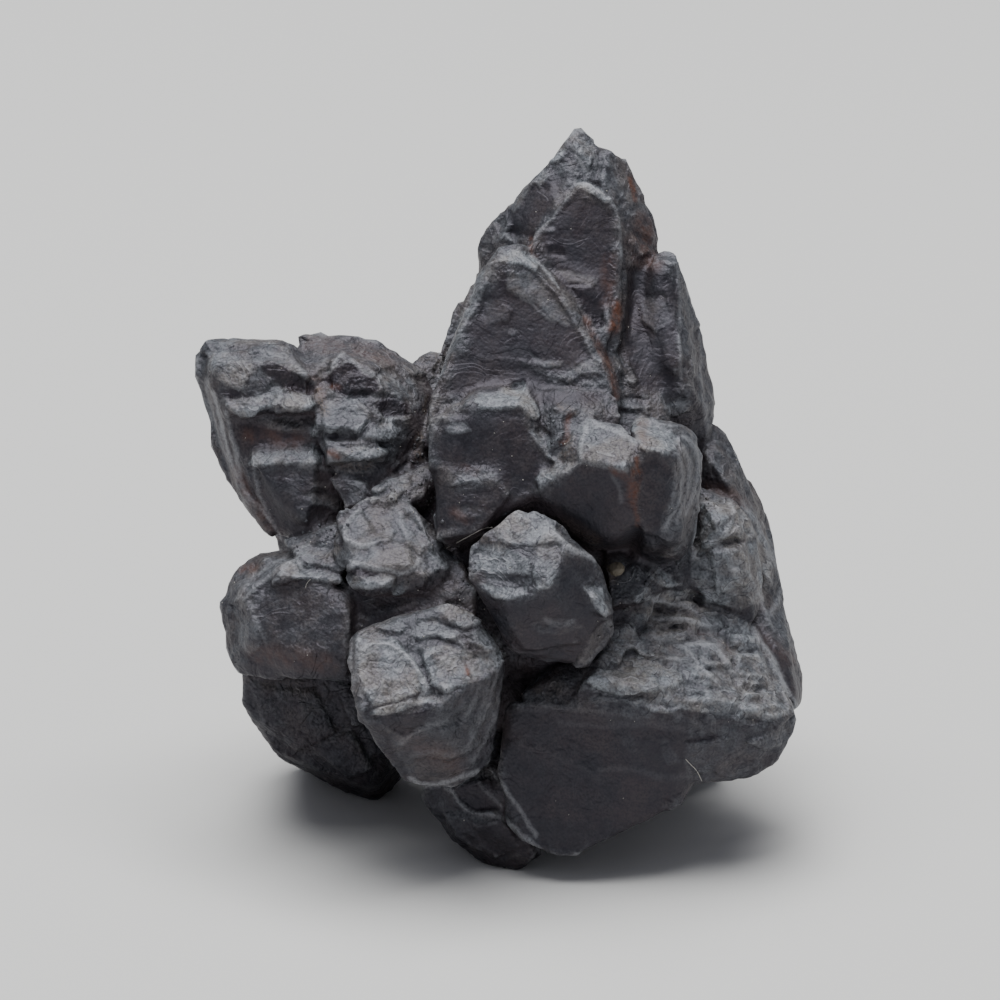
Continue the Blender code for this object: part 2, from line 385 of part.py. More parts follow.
def treads(planes):
    """The rows of small treads, longer towards the front, each a little out of line."""
    rng = random.Random("treads")
    for row in range(TREAD_ROWS):
        down = row / (TREAD_ROWS - 1)
        middle_right = TREAD_BACK[0] + (TREAD_FRONT[0] - TREAD_BACK[0]) * down
        middle_up = TREAD_BACK[1] + (TREAD_FRONT[1] - TREAD_BACK[1]) * down
        wide = (TREAD_SPREAD[0] + (TREAD_SPREAD[1] - TREAD_SPREAD[0]) * down) / TREAD_COLUMNS
        for column in range(TREAD_COLUMNS):
            right = middle_right + (column - (TREAD_COLUMNS - 1) / 2) * wide + rng.uniform(-0.3, 0.3)
            up = middle_up - 0.18 * (right - middle_right) + rng.uniform(-0.2, 0.2)
            half = wide * rng.uniform(0.40, 0.56)
            high = rng.uniform(0.38, 0.54)
            skew = rng.uniform(-0.2, 0.2)
            outline = [
                (right - half, up - high + skew), (right + half, up - high - skew),
                (right + half * 0.9, up + high), (right - half * 0.8, up + high + 0.1),
            ]
            yield step(planes, rng.uniform(*TREAD_RISE), TREAD_TURN, outline)


def to_stand(point):
    """From the main view's frame to the standing cluster's, in millimetres."""
    right, up, towards = point
    return Matrix.Rotation(-LEAN, 3, "X") @ Vector((right, -towards, up))


def add_body(name, shape, collection):
    for vert in shape.verts:
        vert.co = to_stand(vert.co)
    bmesh.ops.triangulate(shape, faces=shape.faces)
    bmesh.ops.recalc_face_normals(shape, faces=shape.faces)
    mesh = bpy.data.meshes.new(name)
    shape.to_mesh(mesh)
    shape.free()
    body = bpy.data.objects.new(name, mesh)
    collection.objects.link(body)
    return body


def grow(collection):
    """Every crystal, ledge, step and tread, as overlapping closed solids."""
    all_planes = {name: face_planes(corners) for name, (ledge_count, corners) in CRYSTALS.items()}
    for name, (ledge_count, corners) in CRYSTALS.items():
        rng = random.Random(name)
        planes = all_planes[name]
        crystal = cut_block(planes)
        size = BROAD_LEDGE_SIZE if name in BROAD_LEDGES else LEDGE_SIZE
        for number in range(ledge_count):
            add_body(f"{name}_ledge_{number}", ledge(crystal, planes, size, rng), collection)
        for point, normal in worn_planes(crystal):
            clip(crystal, point, normal)
        add_body(name, crystal, collection)
    for number, (name, rise, turn, outline) in enumerate(STEPS):
        add_body(f"step_{number}", step(all_planes[name], rise, turn, outline), collection)
    for number, tread in enumerate(treads(all_planes[TREAD_CRYSTAL])):
        add_body(f"tread_{number}", tread, collection)


def joined(bodies):
    """One closed solid from all the overlapping ones."""
    first = bodies.objects[0]
    bodies.objects.unlink(first)
    bpy.context.scene.collection.objects.link(first)
    union = first.modifiers.new("Join", "BOOLEAN")
    union.operation = "UNION"
    union.operand_type = "COLLECTION"
    union.collection = bodies
    union.solver = "EXACT"
    union.use_self = True
    bpy.context.view_layer.update()
    evaluated = first.evaluated_get(bpy.context.evaluated_depsgraph_get())
    shape = bmesh.new()
    shape.from_mesh(evaluated.to_mesh())
    evaluated.to_mesh_clear()
    return shape


def tidied(shape):
    """Merges slivers and cuts the feet flat where the cluster rests."""
    bmesh.ops.remove_doubles(shape, verts=shape.verts, dist=MERGE)
    bmesh.ops.dissolve_limit(shape, angle_limit=COPLANAR, verts=shape.verts, edges=shape.edges)
    bmesh.ops.triangulate(shape, faces=shape.faces)
    whole = shape.verts[:] + shape.edges[:] + shape.faces[:]
    bmesh.ops.bisect_plane(
        shape, geom=whole, plane_co=(0, 0, FLOOR), plane_no=(0, 0, -1), dist=0.001, clear_outer=True
    )
    for vert in shape.verts:
        if vert.co.z < FLOOR + MERGE:
            vert.co.z = FLOOR
    rim = [edge for edge in shape.edges if edge.is_boundary]
    bmesh.ops.holes_fill(shape, edges=rim, sides=0)
    bmesh.ops.triangulate(shape, faces=shape.faces)
    bmesh.ops.recalc_face_normals(shape, faces=shape.faces)
    return shape


def sand_grain():
    """A rounded, slightly lumpy grain."""
    rng = random.Random("sand")
    shape = bmesh.new()
    bmesh.ops.create_icosphere(shape, subdivisions=2, radius=GRAIN_RADIUS)
    for vert in shape.verts:
        lumpy = 1.0 - rng.uniform(0.0, GRAIN_ROUGH)
        stretched = Vector(along * stretch for along, stretch in zip(vert.co, GRAIN_STRETCH))
        vert.co = to_stand(GRAIN_CENTRE + stretched * lumpy)
    return shape


def clear_scene():
    for obj in list(bpy.data.objects):
        bpy.data.objects.remove(obj, do_unlink=True)


def plain_material(name, colour, roughness, metallic):
    material = bpy.data.materials.new(name)
    material.use_nodes = True
    shader = material.node_tree.nodes["Principled BSDF"]
    shader.inputs["Base Color"].default_value = (*colour, 1.0)
    shader.inputs["Roughness"].default_value = roughness
    shader.inputs["Metallic"].default_value = metallic
    return material


def finish_node(name, shape, base, material):
    """Sets a solid on the origin, in metres, as its own named node."""
    for vert in shape.verts:
        vert.co = (vert.co - base) * MM
    mesh = bpy.data.meshes.new(name)
    shape.to_mesh(mesh)
    shape.free()
    mesh.materials.append(material)
    bpy.context.scene.collection.objects.link(bpy.data.objects.new(name, mesh))


def bottom_centre(shape):
    """The middle of the solid's footprint box, at its lowest height."""
    xs, ys, zs = zip(*(vert.co for vert in shape.verts))
    return Vector(((min(xs) + max(xs)) / 2, (min(ys) + max(ys)) / 2, min(zs)))


def main():
    clear_scene()
    bodies = bpy.data.collections.new("bodies")
    bpy.context.scene.collection.children.link(bodies)
    grow(bodies)
    cluster = tidied(joined(bodies))
    clear_scene()
    bpy.data.collections.remove(bodies)

    base = bottom_centre(cluster)
    print(f"standing cluster: origin at {base.x:.3f}, {base.y:.3f}, {base.z:.3f} mm, {len(cluster.faces)} faces")
    finish_node("goethite_cluster", cluster, base, plain_material("goethite", (0.022, 0.021, 0.023), 0.42, 0.1))
    finish_node("sand_grain", sand_grain(), base, plain_material("sand", (0.16, 0.13, 0.10), 0.7, 0.0))


main()
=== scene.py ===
# A goethite pseudomorph: the dark, stepped skin of its crystals, with rust, dust and a grain of sand.
import math
import random

import bmesh
import bpy
import numpy as np
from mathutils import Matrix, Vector, noise
from mathutils.bvhtree import BVHTree


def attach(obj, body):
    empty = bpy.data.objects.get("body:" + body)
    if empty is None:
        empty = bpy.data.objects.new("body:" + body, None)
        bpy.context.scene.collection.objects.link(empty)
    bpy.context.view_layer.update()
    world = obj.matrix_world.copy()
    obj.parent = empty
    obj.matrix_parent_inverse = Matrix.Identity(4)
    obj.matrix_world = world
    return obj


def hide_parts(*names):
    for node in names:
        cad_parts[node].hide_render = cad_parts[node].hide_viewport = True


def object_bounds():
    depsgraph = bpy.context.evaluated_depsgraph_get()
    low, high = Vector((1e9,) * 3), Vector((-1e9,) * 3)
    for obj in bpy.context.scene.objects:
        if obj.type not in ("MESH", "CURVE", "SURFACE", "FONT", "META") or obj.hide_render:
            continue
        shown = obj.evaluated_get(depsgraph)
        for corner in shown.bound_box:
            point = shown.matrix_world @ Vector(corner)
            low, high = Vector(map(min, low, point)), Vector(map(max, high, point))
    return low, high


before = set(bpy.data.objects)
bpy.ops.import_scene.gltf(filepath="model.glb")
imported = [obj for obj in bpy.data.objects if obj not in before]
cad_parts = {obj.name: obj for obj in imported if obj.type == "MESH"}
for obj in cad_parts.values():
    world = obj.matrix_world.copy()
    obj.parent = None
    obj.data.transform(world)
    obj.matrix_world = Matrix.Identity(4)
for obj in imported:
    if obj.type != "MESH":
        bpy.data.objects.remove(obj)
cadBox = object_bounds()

mm = 0.001
noiseSeed = 4
noise.seed_set(noiseSeed)  # without a seed the noise vectors differ from run to run

# The stone is seen from in front and a little above.
view = {
    "elevation": math.radians(20.0),
    "distance": 400 * mm,
    "aim": Vector((0.003, 0.244, 23.0)) * mm,
    "width": 70 * mm,  # what the picture spans at the aim
    "pixels": 1000,  # across the picture
    "sensor": 36.0,
    "nearest": 10 * mm,
    "grazing": 0.04,  # what faces the camera less than this isn't seen
    "rayStart": 0.2 * mm,
}
viewRight = Vector((1, 0, 0))
viewUp = Vector((0, math.sin(view["elevation"]), math.cos(view["elevation"])))
viewBack = Vector((0, -math.cos(view["elevation"]), math.sin(view["elevation"])))
cameraPlace = view["aim"] + viewBack * view["distance"]
pixel = view["width"] / view["pixels"]
pictureMiddle = view["pixels"] / 2


# Small helpers.
def added(name, data):
    obj = bpy.data.objects.new(name, data)
    bpy.context.scene.collection.objects.link(obj)
    return obj


def meshFrom(name, made):
    mesh = bpy.data.meshes.new(name)
    made.to_mesh(mesh)
    made.free()
    return mesh


def evaluatedMesh(obj):
    bpy.context.view_layer.update()
    return bpy.data.meshes.new_from_object(obj.evaluated_get(bpy.context.evaluated_depsgraph_get()))


def applied(obj):
    mesh = evaluatedMesh(obj)
    obj.modifiers.clear()
    obj.data = mesh
    return obj


def rowsOf(items, field, width, kind=np.float32):
    flat = np.empty(len(items) * width, kind)
    items.foreach_get(field, flat)
    return flat.reshape(-1, width)


def placesOf(mesh):
    return rowsOf(mesh.vertices, "co", 3).astype(float)


def normalsOf(mesh):
    return rowsOf(mesh.vertex_normals, "vector", 3).astype(float)


def edgesOf(mesh):
    return rowsOf(mesh.edges, "vertices", 2, np.int32)


def facesOf(mesh):
    return [tuple(face.vertices) for face in mesh.polygons]


def setPlaces(mesh, places):
    mesh.vertices.foreach_set("co", places.astype(np.float32).ravel())
    mesh.update()


def setMask(mesh, name, values):
    layer = mesh.attributes.new(name, "FLOAT", "POINT")
    layer.data.foreach_set("value", np.asarray(values, np.float32))


def evened(values, edges, rounds):
    # each point takes the mean of itself and its neighbours
    count = np.bincount(edges.ravel(), minlength=len(values)) + 1
    for _ in range(rounds):
        columns = []
        for column in values.reshape(len(values), -1).T:
            near = np.bincount(edges[:, 0], column[edges[:, 1]], len(values))
            near += np.bincount(edges[:, 1], column[edges[:, 0]], len(values))
            columns.append((near + column) / count)
        values = np.stack(columns, 1).reshape(values.shape)
    return values


def eased(values):
    # a smooth step from 0 to 1
    values = np.clip(values, 0.0, 1.0)
    return values * values * (3.0 - 2.0 * values)


def dotted(first, second):
    return np.einsum("ij,ij->i", first, second)


def pictureOf(places):
    # where points show in the picture, in its pixels from the top left corner
    offset = places - np.array(cameraPlace)
    scale = view["distance"] / (offset @ -np.array(viewBack)) / pixel
    across = pictureMiddle + offset @ np.array(viewRight) * scale
    down = pictureMiddle - offset @ np.array(viewUp) * scale
    return np.stack((across, down), 1)


def surfaceAt(tree, across, down):
    # where the stone shows at a place in the picture, and the way it faces there
    ray = viewRight * (across - pictureMiddle) * pixel + viewUp * (pictureMiddle - down) * pixel
    ray -= viewBack * view["distance"]
    place, normal = tree.ray_cast(cameraPlace, ray.normalized())[:2]
    return place, normal


def towardsCamera(places, normals):
    # the way to the camera, and how squarely each point faces it
    towards = np.array(cameraPlace) - places
    return towards, dotted(towards, normals) / view["distance"]


def seenFrom(places, normals, faces):
    # 1 where the camera sees the point, 0 where the stone hides it
    tree = BVHTree.FromPolygons(places.tolist(), faces)
    seen = np.zeros(len(places))
    towards, facing = towardsCamera(places, normals)
    for number in np.nonzero(facing > view["grazing"])[0]:
        ray = Vector(towards[number])
        start = Vector(places[number] + normals[number] * view["rayStart"])
        if tree.ray_cast(start, ray, ray.length)[0] is None:
            seen[number] = 1.0
    return seen


def rounded(line):
    # a line of points with its corners cut twice, a quarter of the way in
    corners = np.array(line, float)
    for _ in range(2):
        near = corners[:-1] * 0.75 + corners[1:] * 0.25
        far = corners[:-1] * 0.25 + corners[1:] * 0.75
        between = np.stack((near, far), 1).reshape(-1, 2)
        corners = np.vstack((corners[:1], between[1:-1], corners[-1:]))
    return corners


def fromLine(points, corners):
    # distance to a line of points, and how far along it the nearest place is
    gaps = np.full(len(points), np.inf)
    along = np.zeros(len(points))
    lengths = np.linalg.norm(np.diff(corners, axis=0), axis=1)
    done = 0.0
    for start, end, length in zip(corners[:-1], corners[1:], lengths):
        if length == 0:
            continue
        step = (end - start) / length
        reach = np.clip((points - start) @ step, 0, length)
        gap = np.linalg.norm(points - start - reach[:, None] * step, axis=1)
        closer = gap < gaps
        gaps[closer] = gap[closer]
        along[closer] = (done + reach[closer]) / lengths.sum()
        done += length
    return gaps, along


def insideOf(points, outline):
    # distance to an outline, positive inside it
    corners = np.array(outline + outline[:1], float)
    gaps = fromLine(points, corners)[0]
    inside = np.zeros(len(points), bool)
    for start, end in zip(corners[:-1], corners[1:]):
        if start[1] != end[1]:
            crosses = (start[1] > points[:, 1]) != (end[1] > points[:, 1])
            slope = (end[0] - start[0]) / (end[1] - start[1])
            inside ^= crosses & (points[:, 0] < slope * (points[:, 1] - start[1]) + start[0])
    return np.where(inside, gaps, -gaps)


def nearTo(points, shape, margin):
    low = np.min(shape, axis=0) - margin
    high = np.max(shape, axis=0) + margin
    return np.nonzero(((points > low) & (points < high)).all(axis=1))[0]


def byOutline(points, outline, fade):
    # the points by an outline, and how much they belong to it: 0 to 1 over a border of so many pixels
    near = nearTo(points, outline, fade / 2 + 1)
    return near, eased(insideOf(points[near], outline) / fade + 0.5)


def byLine(points, line, width):
    # the points by a drawn line, their distance in its widths, and how far along it they are
    corners = rounded(line)
    near = nearTo(points, corners, width * mm / pixel + 2)
    gap, along = fromLine(points[near], corners)
    return near, gap * pixel / (width * mm), along


# What is drawn on the seen side, crystal by crystal. Points are pixels of the picture, from its
# top left corner. A plate is a facet of its own: how far it is turned up and right, its lift in
# millimetres, how pale its crust is painted (painted light where it faces the lamp, painted sheen on
# flanks, and 0 dims it as painted shade), and its outline.
plates = {
    "backCrystal": {
        "apexLeft": (0.45, -0.2, 0.03, 0.85, [(546, 156), (560, 144), (566, 150), (559, 163), (549, 163)]),
        "apexRight": (0.3, 0.2, 0, 0.75, [(570, 133), (578, 133), (592, 143), (596, 150), (590, 170),
            (574, 150)]),
        "leftChip": (0.3, -0.1, 0, 0.6, [(534, 180), (545, 164), (548, 176), (540, 188)]),
        "leftEdge": (0.2, -0.3, 0, 0.35, [(505, 206), (530, 176), (536, 182), (515, 212)]),
        "shoulderLump": (0.3, -0.3, 0.05, 0.4, [(497, 222), (504, 216), (508, 232), (513, 243),
            (500, 241)]),
        "rightLight": (0.3, 0.3, 0.02, 0.35, [(600, 152), (611, 157), (617, 166), (606, 168)]),
        "cornerRight": (0.35, 0.3, 0.04, 0.25, [(632, 232), (648, 236), (657, 250), (640, 258),
            (628, 246)]),
    },
    "middleCrystal": {
        "crest": (0.35, 0.1, 0.02, 1, [(576, 185), (578, 179), (588, 182), (600, 187), (612, 203),
            (604, 203), (592, 194), (582, 188)]),
        "step": (0.15, 0, 0.01, 0.3, [(556, 269), (568, 270), (583, 274), (597, 280), (595, 286),
            (580, 285), (566, 281)]),
        "underStep": (-0.25, 0, -0.06, 0, [(572, 288), (592, 286), (602, 304), (605, 326), (597, 328),
            (583, 308)]),
        "smallHollow": (-0.2, 0.1, -0.04, 0, [(546, 242), (562, 244), (566, 255), (550, 256)]),
        "lowLight": (0.3, 0, 0, 0.25, [(545, 224), (556, 226), (553, 233), (543, 233)]),
    },
    "frontCrystal": {
        "cap": (0.35, 0, 0.02, 0.9, [(499, 263), (500, 255), (507, 250), (517, 248), (527, 251),
            (541, 263), (536, 270), (522, 265), (510, 261)]),
        "lightFace": (0.1, 0.1, 0.01, 0.36, [(507, 268), (532, 272), (547, 286), (562, 304), (571, 320),
            (567, 328), (550, 318), (537, 303), (520, 297), (506, 290)]),
        "leftFace": (0.05, -0.1, 0, 0.12, [(484, 300), (500, 298), (512, 310), (508, 322), (486, 325),
            (478, 315)]),
        "smear": (0.2, 0, 0, 0.22, [(503, 330), (513, 327), (520, 331), (511, 336)]),
        "upperCurl": (0.25, 0, 0.01, 0.4, [(529, 351), (536, 356), (546, 361), (563, 361), (560, 367),
            (546, 369), (535, 364)]),
        "lowerCurl": (0.22, 0, 0.01, 0.42, [(557, 378), (572, 369), (590, 357), (598, 362), (605, 376),
            (597, 374), (588, 371), (578, 379), (568, 383)]),
        "flank": (0, -0.25, 0, 0.5, [(497, 262), (484, 292), (470, 318), (452, 352), (438, 380),
            (432, 372), (447, 348), (458, 316), (466, 300), (478, 274)]),
    },
    "shoulder": {
        "cap": (0.4, 0, 0.04, 0.35, [(656, 252), (670, 254), (679, 263), (670, 267), (658, 261)]),
        "face": (0.1, 0.1, 0, 0.18, [(640, 296), (664, 292), (672, 318), (658, 334), (642, 322)]),
        "chip": (0.4, 0, 0.06, 0.35, [(613, 352), (622, 346), (627, 360), (638, 382), (630, 387),
            (618, 368)]),
        "lowLeft": (0.35, 0, 0.02, 0.35, [(612, 402), (630, 396), (648, 400), (652, 410), (632, 412)]),
        "lowRight": (0.35, 0, 0.02, 0.4, [(662, 408), (680, 396), (692, 400), (688, 412), (672, 416)]),
        "right": (0.1, 0.3, 0, 0.25, [(690, 330), (699, 326), (703, 356), (700, 384), (690, 372)]),
    },
    "spireFoot": {
        "crest": (0.4, 0, 0.03, 0.95, [(473, 401), (478, 394), (492, 393), (505, 388), (513, 382),
            (523, 382), (530, 394), (541, 414), (537, 421), (529, 417), (520, 409), (495, 411),
            (480, 408)]),
        "rightFall": (0.35, 0.2, 0.04, 0.6, [(527, 426), (534, 431), (540, 427), (548, 432), (552, 444),
            (549, 452), (558, 462), (546, 458), (537, 445)]),
        "leftChip": (0.25, 0, 0.02, 0.4, [(444, 428), (453, 422), (467, 423), (472, 431), (460, 434),
            (449, 433)]),
        "leftTop": (0.3, -0.1, 0.02, 0.4, [(443, 404), (454, 399), (460, 405), (450, 413), (441, 420)]),
        "lowSmear": (0.3, 0, 0.02, 0.42, [(450, 487), (460, 475), (475, 470), (492, 470), (498, 475),
            (484, 479), (470, 483)]),
        "lowest": (0.15, 0, 0, 0.16, [(452, 510), (468, 503), (486, 508), (480, 518), (460, 520)]),
        "skirt": (0.4, 0.1, 0.05, 0.65, [(576, 455), (580, 461), (571, 469), (560, 475), (551, 482),
            (540, 491), (536, 480), (541, 469), (553, 468), (560, 458)]),
    },
    "centreLeft": {
        "top": (0.12, 0, 0.05, 0.6, [(577, 430), (580, 422), (586, 420), (602, 424), (620, 432),
            (634, 440), (637, 446), (630, 458), (626, 470), (614, 467), (598, 464), (582, 460)]),
        "leftSide": (0.2, -0.3, 0, 0.35, [(562, 418), (574, 414), (578, 424), (575, 450), (564, 452)]),
    },
    "centreRight": {
        "top": (0.15, 0.1, 0.05, 0.95, [(630, 426), (637, 418), (648, 422), (662, 428), (678, 434),
            (679, 441), (669, 455), (655, 452), (640, 449)]),
        "rearRim": (0.4, 0, 0.02, 0.45, [(618, 410), (636, 412), (662, 424), (680, 431), (664, 429),
            (640, 419), (622, 417)]),
        "lowLight": (0.1, 0, 0, 0.2, [(655, 556), (672, 548), (684, 540), (684, 552), (670, 558)]),
    },
    "frontBlock": {
        "top": (0.08, 0, 0.02, 0.72, [(492, 530), (505, 512), (520, 508), (536, 513), (552, 525),
            (558, 538), (540, 544), (512, 546), (498, 540)]),
        "left": (0.1, -0.1, 0.03, 0.72, [(472, 556), (484, 543), (502, 545), (518, 552), (531, 560),
            (529, 575), (512, 574), (492, 573), (478, 571)]),
        "rim": (0.25, 0, 0.03, 0.85, [(482, 583), (495, 586), (511, 588), (528, 586), (526, 595),
            (510, 600), (493, 597)]),
        "right": (0.08, 0.15, 0, 0.6, [(536, 548), (558, 541), (562, 552), (556, 575), (551, 588),
            (538, 590), (532, 574)]),
        "sideChip": (0.5, 0.2, 0.05, 0.8, [(583, 587), (592, 584), (597, 577), (602, 584), (605, 598),
            (611, 613), (602, 615), (593, 605)]),
        "lowSmear": (0.1, 0, 0.01, 0.16, [(530, 624), (550, 618), (575, 620), (584, 628), (560, 635),
            (540, 633)]),
        "lowRight": (0.2, 0.3, 0, 0.3, [(598, 626), (607, 621), (613, 629), (601, 648), (586, 664),
            (573, 664), (586, 647)]),
    },
    "armOuter": {
        "topRim": (0.35, 0, 0.02, 0.5, [(211, 341), (222, 337), (242, 337), (264, 337), (280, 341),
            (288, 351), (270, 347), (250, 343), (234, 345), (222, 352)]),
        "upper": (0.1, -0.05, 0.02, 0.6, [(207, 354), (222, 348), (240, 357), (253, 363), (250, 376),
            (246, 386), (238, 392), (230, 388), (214, 379), (206, 366)]),
        "band": (0.2, 0, 0.03, 0.45, [(246, 354), (262, 352), (280, 354), (295, 364), (313, 382),
            (300, 378), (285, 367), (268, 361), (250, 363)]),
        "hollow": (-0.35, 0, -0.08, 0, [(260, 365), (274, 362), (292, 371), (310, 381), (317, 390),
            (308, 395), (290, 389), (275, 382)]),
        "nick": (-0.3, 0, -0.07, 0, [(222, 390), (232, 389), (246, 395), (238, 399), (226, 398)]),
        "lower": (0.35, 0, 0.04, 0.7, [(224, 403), (233, 399), (250, 396), (262, 395), (272, 382),
            (283, 384), (284, 395), (277, 405), (262, 409), (254, 416), (244, 417), (230, 411)]),
        "corner": (0.4, 0, 0.06, 0.75, [(282, 398), (288, 390), (298, 392), (309, 398), (316, 404),
            (308, 409), (294, 411), (284, 411)]),
        "smear": (0.35, 0, 0.03, 0.38, [(264, 422), (275, 416), (291, 417), (303, 422), (300, 431),
            (285, 432), (270, 428)]),
        "strip": (0.45, 0, 0.05, 0.65, [(248, 466), (253, 455), (265, 451), (292, 451), (300, 446),
            (313, 444), (321, 449), (323, 457), (320, 465), (300, 464), (265, 466)]),
        "bead": (0.3, 0, 0.05, 0.5, [(308, 430), (313, 423), (319, 428), (319, 437), (311, 438)]),
        "lowSmear": (0.35, 0, 0.02, 0.33, [(303, 495), (315, 489), (330, 492), (341, 499), (352, 511),
            (342, 515), (329, 508), (314, 505)]),
        "lowMark": (0.25, 0, 0, 0.2, [(306, 483), (322, 480), (340, 482), (342, 489), (316, 491)]),
        "flank": (0, -0.3, 0, 0.3, [(196, 352), (205, 354), (213, 390), (228, 445), (243, 480),
            (258, 508), (276, 536), (268, 537), (244, 508), (224, 465), (206, 425), (196, 385)]),
    },
    "armInner": {
        "ground": (0, 0, 0, 0.32, [(318, 372), (345, 350), (385, 350), (424, 378), (414, 410), (404, 440),
            (392, 460), (345, 475), (325, 465), (318, 430)]),
        "top": (0.25, 0, 0, 0.36, [(300, 337), (330, 334), (360, 338), (386, 346), (412, 361), (426, 376),
            (412, 379), (392, 368), (376, 374), (360, 366), (346, 356), (332, 366), (318, 373),
            (304, 356)]),
        "hollow": (-0.35, 0, -0.08, 0, [(322, 380), (333, 371), (345, 362), (353, 364), (363, 373),
            (377, 381), (378, 391), (368, 397), (348, 397), (334, 391)]),
        "middle": (0.1, 0, 0.01, 0.5, [(319, 402), (328, 395), (343, 399), (352, 394), (361, 404),
            (374, 416), (369, 424), (358, 433), (343, 427), (330, 434), (323, 424)]),
        "right": (0.35, 0.1, 0.04, 0.65, [(362, 439), (370, 429), (382, 419), (396, 416), (401, 425),
            (398, 437), (385, 441), (372, 441)]),
        "ledge": (0.5, 0, 0.05, 0.75, [(332, 443), (346, 445), (362, 446), (376, 448), (386, 441),
            (397, 444), (386, 456), (370, 460), (352, 460), (339, 452)]),
        "tanFace": (0.25, 0, 0.02, 0.4, [(342, 466), (353, 462), (368, 462), (379, 464), (372, 473),
            (358, 475), (346, 471)]),
        "sideHollow": (-0.35, 0, -0.07, 0, [(372, 403), (390, 398), (410, 404), (410, 415), (384, 417)]),
        "rightLight": (0.15, 0.15, 0, 0.38, [(378, 378), (390, 374), (403, 382), (414, 393), (406, 400),
            (392, 396), (380, 391)]),
        "lowStrip": (0.4, 0.2, 0.04, 0.4, [(371, 493), (385, 480), (400, 466), (411, 459), (405, 471),
            (393, 484), (380, 496)]),
        "lowChip": (0.4, 0.2, 0.05, 0.6, [(386, 502), (394, 488), (402, 478), (409, 476), (412, 485),
            (402, 494), (394, 503)]),
        "lowRim": (0.4, 0, 0.03, 0.5, [(364, 498), (374, 494), (384, 500), (372, 503)]),
    },
    "leftKnob": {
        "ground": (0, 0, 0, 0.38, [(345, 520), (370, 505), (400, 505), (425, 520), (450, 548), (448, 570),
            (420, 575), (400, 590), (350, 580), (340, 560)]),
        "upper": (0.1, -0.1, 0.03, 0.46, [(344, 533), (348, 522), (356, 513), (364, 510), (380, 518),
            (391, 523), (397, 533), (390, 541), (376, 546), (360, 546), (349, 543)]),
        "lower": (0.15, 0, 0.03, 0.5, [(350, 557), (370, 551), (392, 548), (407, 546), (416, 551),
            (419, 561), (412, 571), (402, 574), (388, 570), (372, 568), (359, 563)]),
        "step": (0.5, 0, 0.04, 0.7, [(339, 578), (355, 580), (373, 577), (388, 573), (399, 571),
            (392, 581), (380, 588), (360, 587), (342, 583)]),
        "lowChip": (0.45, 0, 0.03, 0.6, [(391, 595), (400, 584), (412, 581), (409, 588), (400, 595)]),
        "underPlate": (-0.35, 0, -0.08, 0, [(342, 564), (356, 567), (374, 572), (386, 573), (366, 577),
            (344, 575)]),
        "right": (0.2, 0.2, 0.02, 0.45, [(398, 520), (412, 514), (422, 530), (428, 548), (420, 556),
            (406, 545)]),
        "farRight": (0.2, 0.1, 0.02, 0.35, [(432, 556), (446, 548), (456, 556), (448, 570), (434, 572)]),
    },
    "leftBlock": {
        "crest": (0.5, 0, 0.05, 0.6, [(277, 576), (285, 566), (298, 559), (312, 567), (328, 572),
            (345, 578), (344, 585), (322, 582), (298, 579)]),
        "behindCrest": (0.25, 0, 0.02, 0.42, [(300, 549), (315, 543), (340, 546), (353, 557), (360, 567),
            (345, 573), (320, 567), (304, 560)]),
        "topFlank": (0.2, -0.1, 0, 0.36, [(233, 600), (241, 585), (256, 569), (278, 555), (302, 545),
            (330, 538), (330, 545), (305, 554), (287, 564), (274, 576), (261, 589), (247, 600)]),
        "leftFlank": (0, -0.3, 0, 0.26, [(227, 604), (246, 602), (256, 625), (262, 645), (250, 655),
            (234, 642)]),
    },
    "lowerBlock": {
        "face": (0.06, 0, 0.04, 0.8, [(356, 642), (363, 632), (374, 628), (392, 636), (406, 648),
            (418, 663), (426, 678), (424, 691), (406, 698), (388, 703), (373, 707), (364, 691),
            (358, 668)]),
        "lowerEdge": (0.5, 0, 0.05, 1, [(369, 714), (380, 707), (396, 702), (420, 697), (432, 690),
            (441, 692), (440, 702), (424, 704), (412, 707), (398, 712), (383, 716)]),
        "rightFace": (0.1, 0.15, 0, 0.75, [(420, 650), (442, 645), (464, 650), (482, 655), (502, 649),
            (507, 656), (497, 669), (482, 677), (462, 687), (445, 693), (433, 686), (428, 670)]),
        "topRear": (0.45, 0, 0.06, 0.62, [(438, 608), (449, 601), (459, 602), (471, 612), (482, 622),
            (466, 629), (449, 623)]),
        "topMiddle": (0.3, 0, 0.04, 0.58, [(408, 632), (419, 620), (436, 618), (449, 627), (463, 633),
            (454, 640), (434, 637), (418, 641)]),
        "topLeft": (0.35, 0, 0.03, 0.5, [(374, 622), (393, 619), (406, 625), (400, 634), (382, 630)]),
        "topRight": (0.25, 0.2, 0.02, 0.55, [(470, 631), (486, 627), (500, 640), (504, 649), (488, 653),
            (475, 645)]),
        "front": (0, 0, 0, 0.15, [(378, 719), (440, 706), (494, 678), (500, 700), (478, 765), (440, 782),
            (411, 776)]),
        "frontSmear": (0.15, 0, 0.01, 0.25, [(444, 743), (458, 736), (470, 732), (481, 728), (478, 739),
            (467, 747), (452, 748)]),
        "frontLeft": (-0.3, 0, -0.05, 0, [(378, 719), (402, 715), (428, 709), (424, 726), (405, 737),
            (388, 729)]),
    },
    "broadTop": {
        "ground": (0, 0, 0, 0.66, [(600, 655), (628, 618), (650, 596), (690, 588), (715, 606), (752, 624),
            (775, 660), (797, 710), (770, 722), (700, 712), (640, 706), (590, 690)]),
        "snow": (0.45, 0, 0.04, 1, [(586, 683), (591, 676), (601, 668), (606, 657), (614, 660),
            (619, 667), (624, 655), (632, 648), (641, 655), (655, 658), (667, 666), (681, 671),
            (684, 680), (675, 688), (658, 691), (640, 692), (620, 695), (604, 692)]),
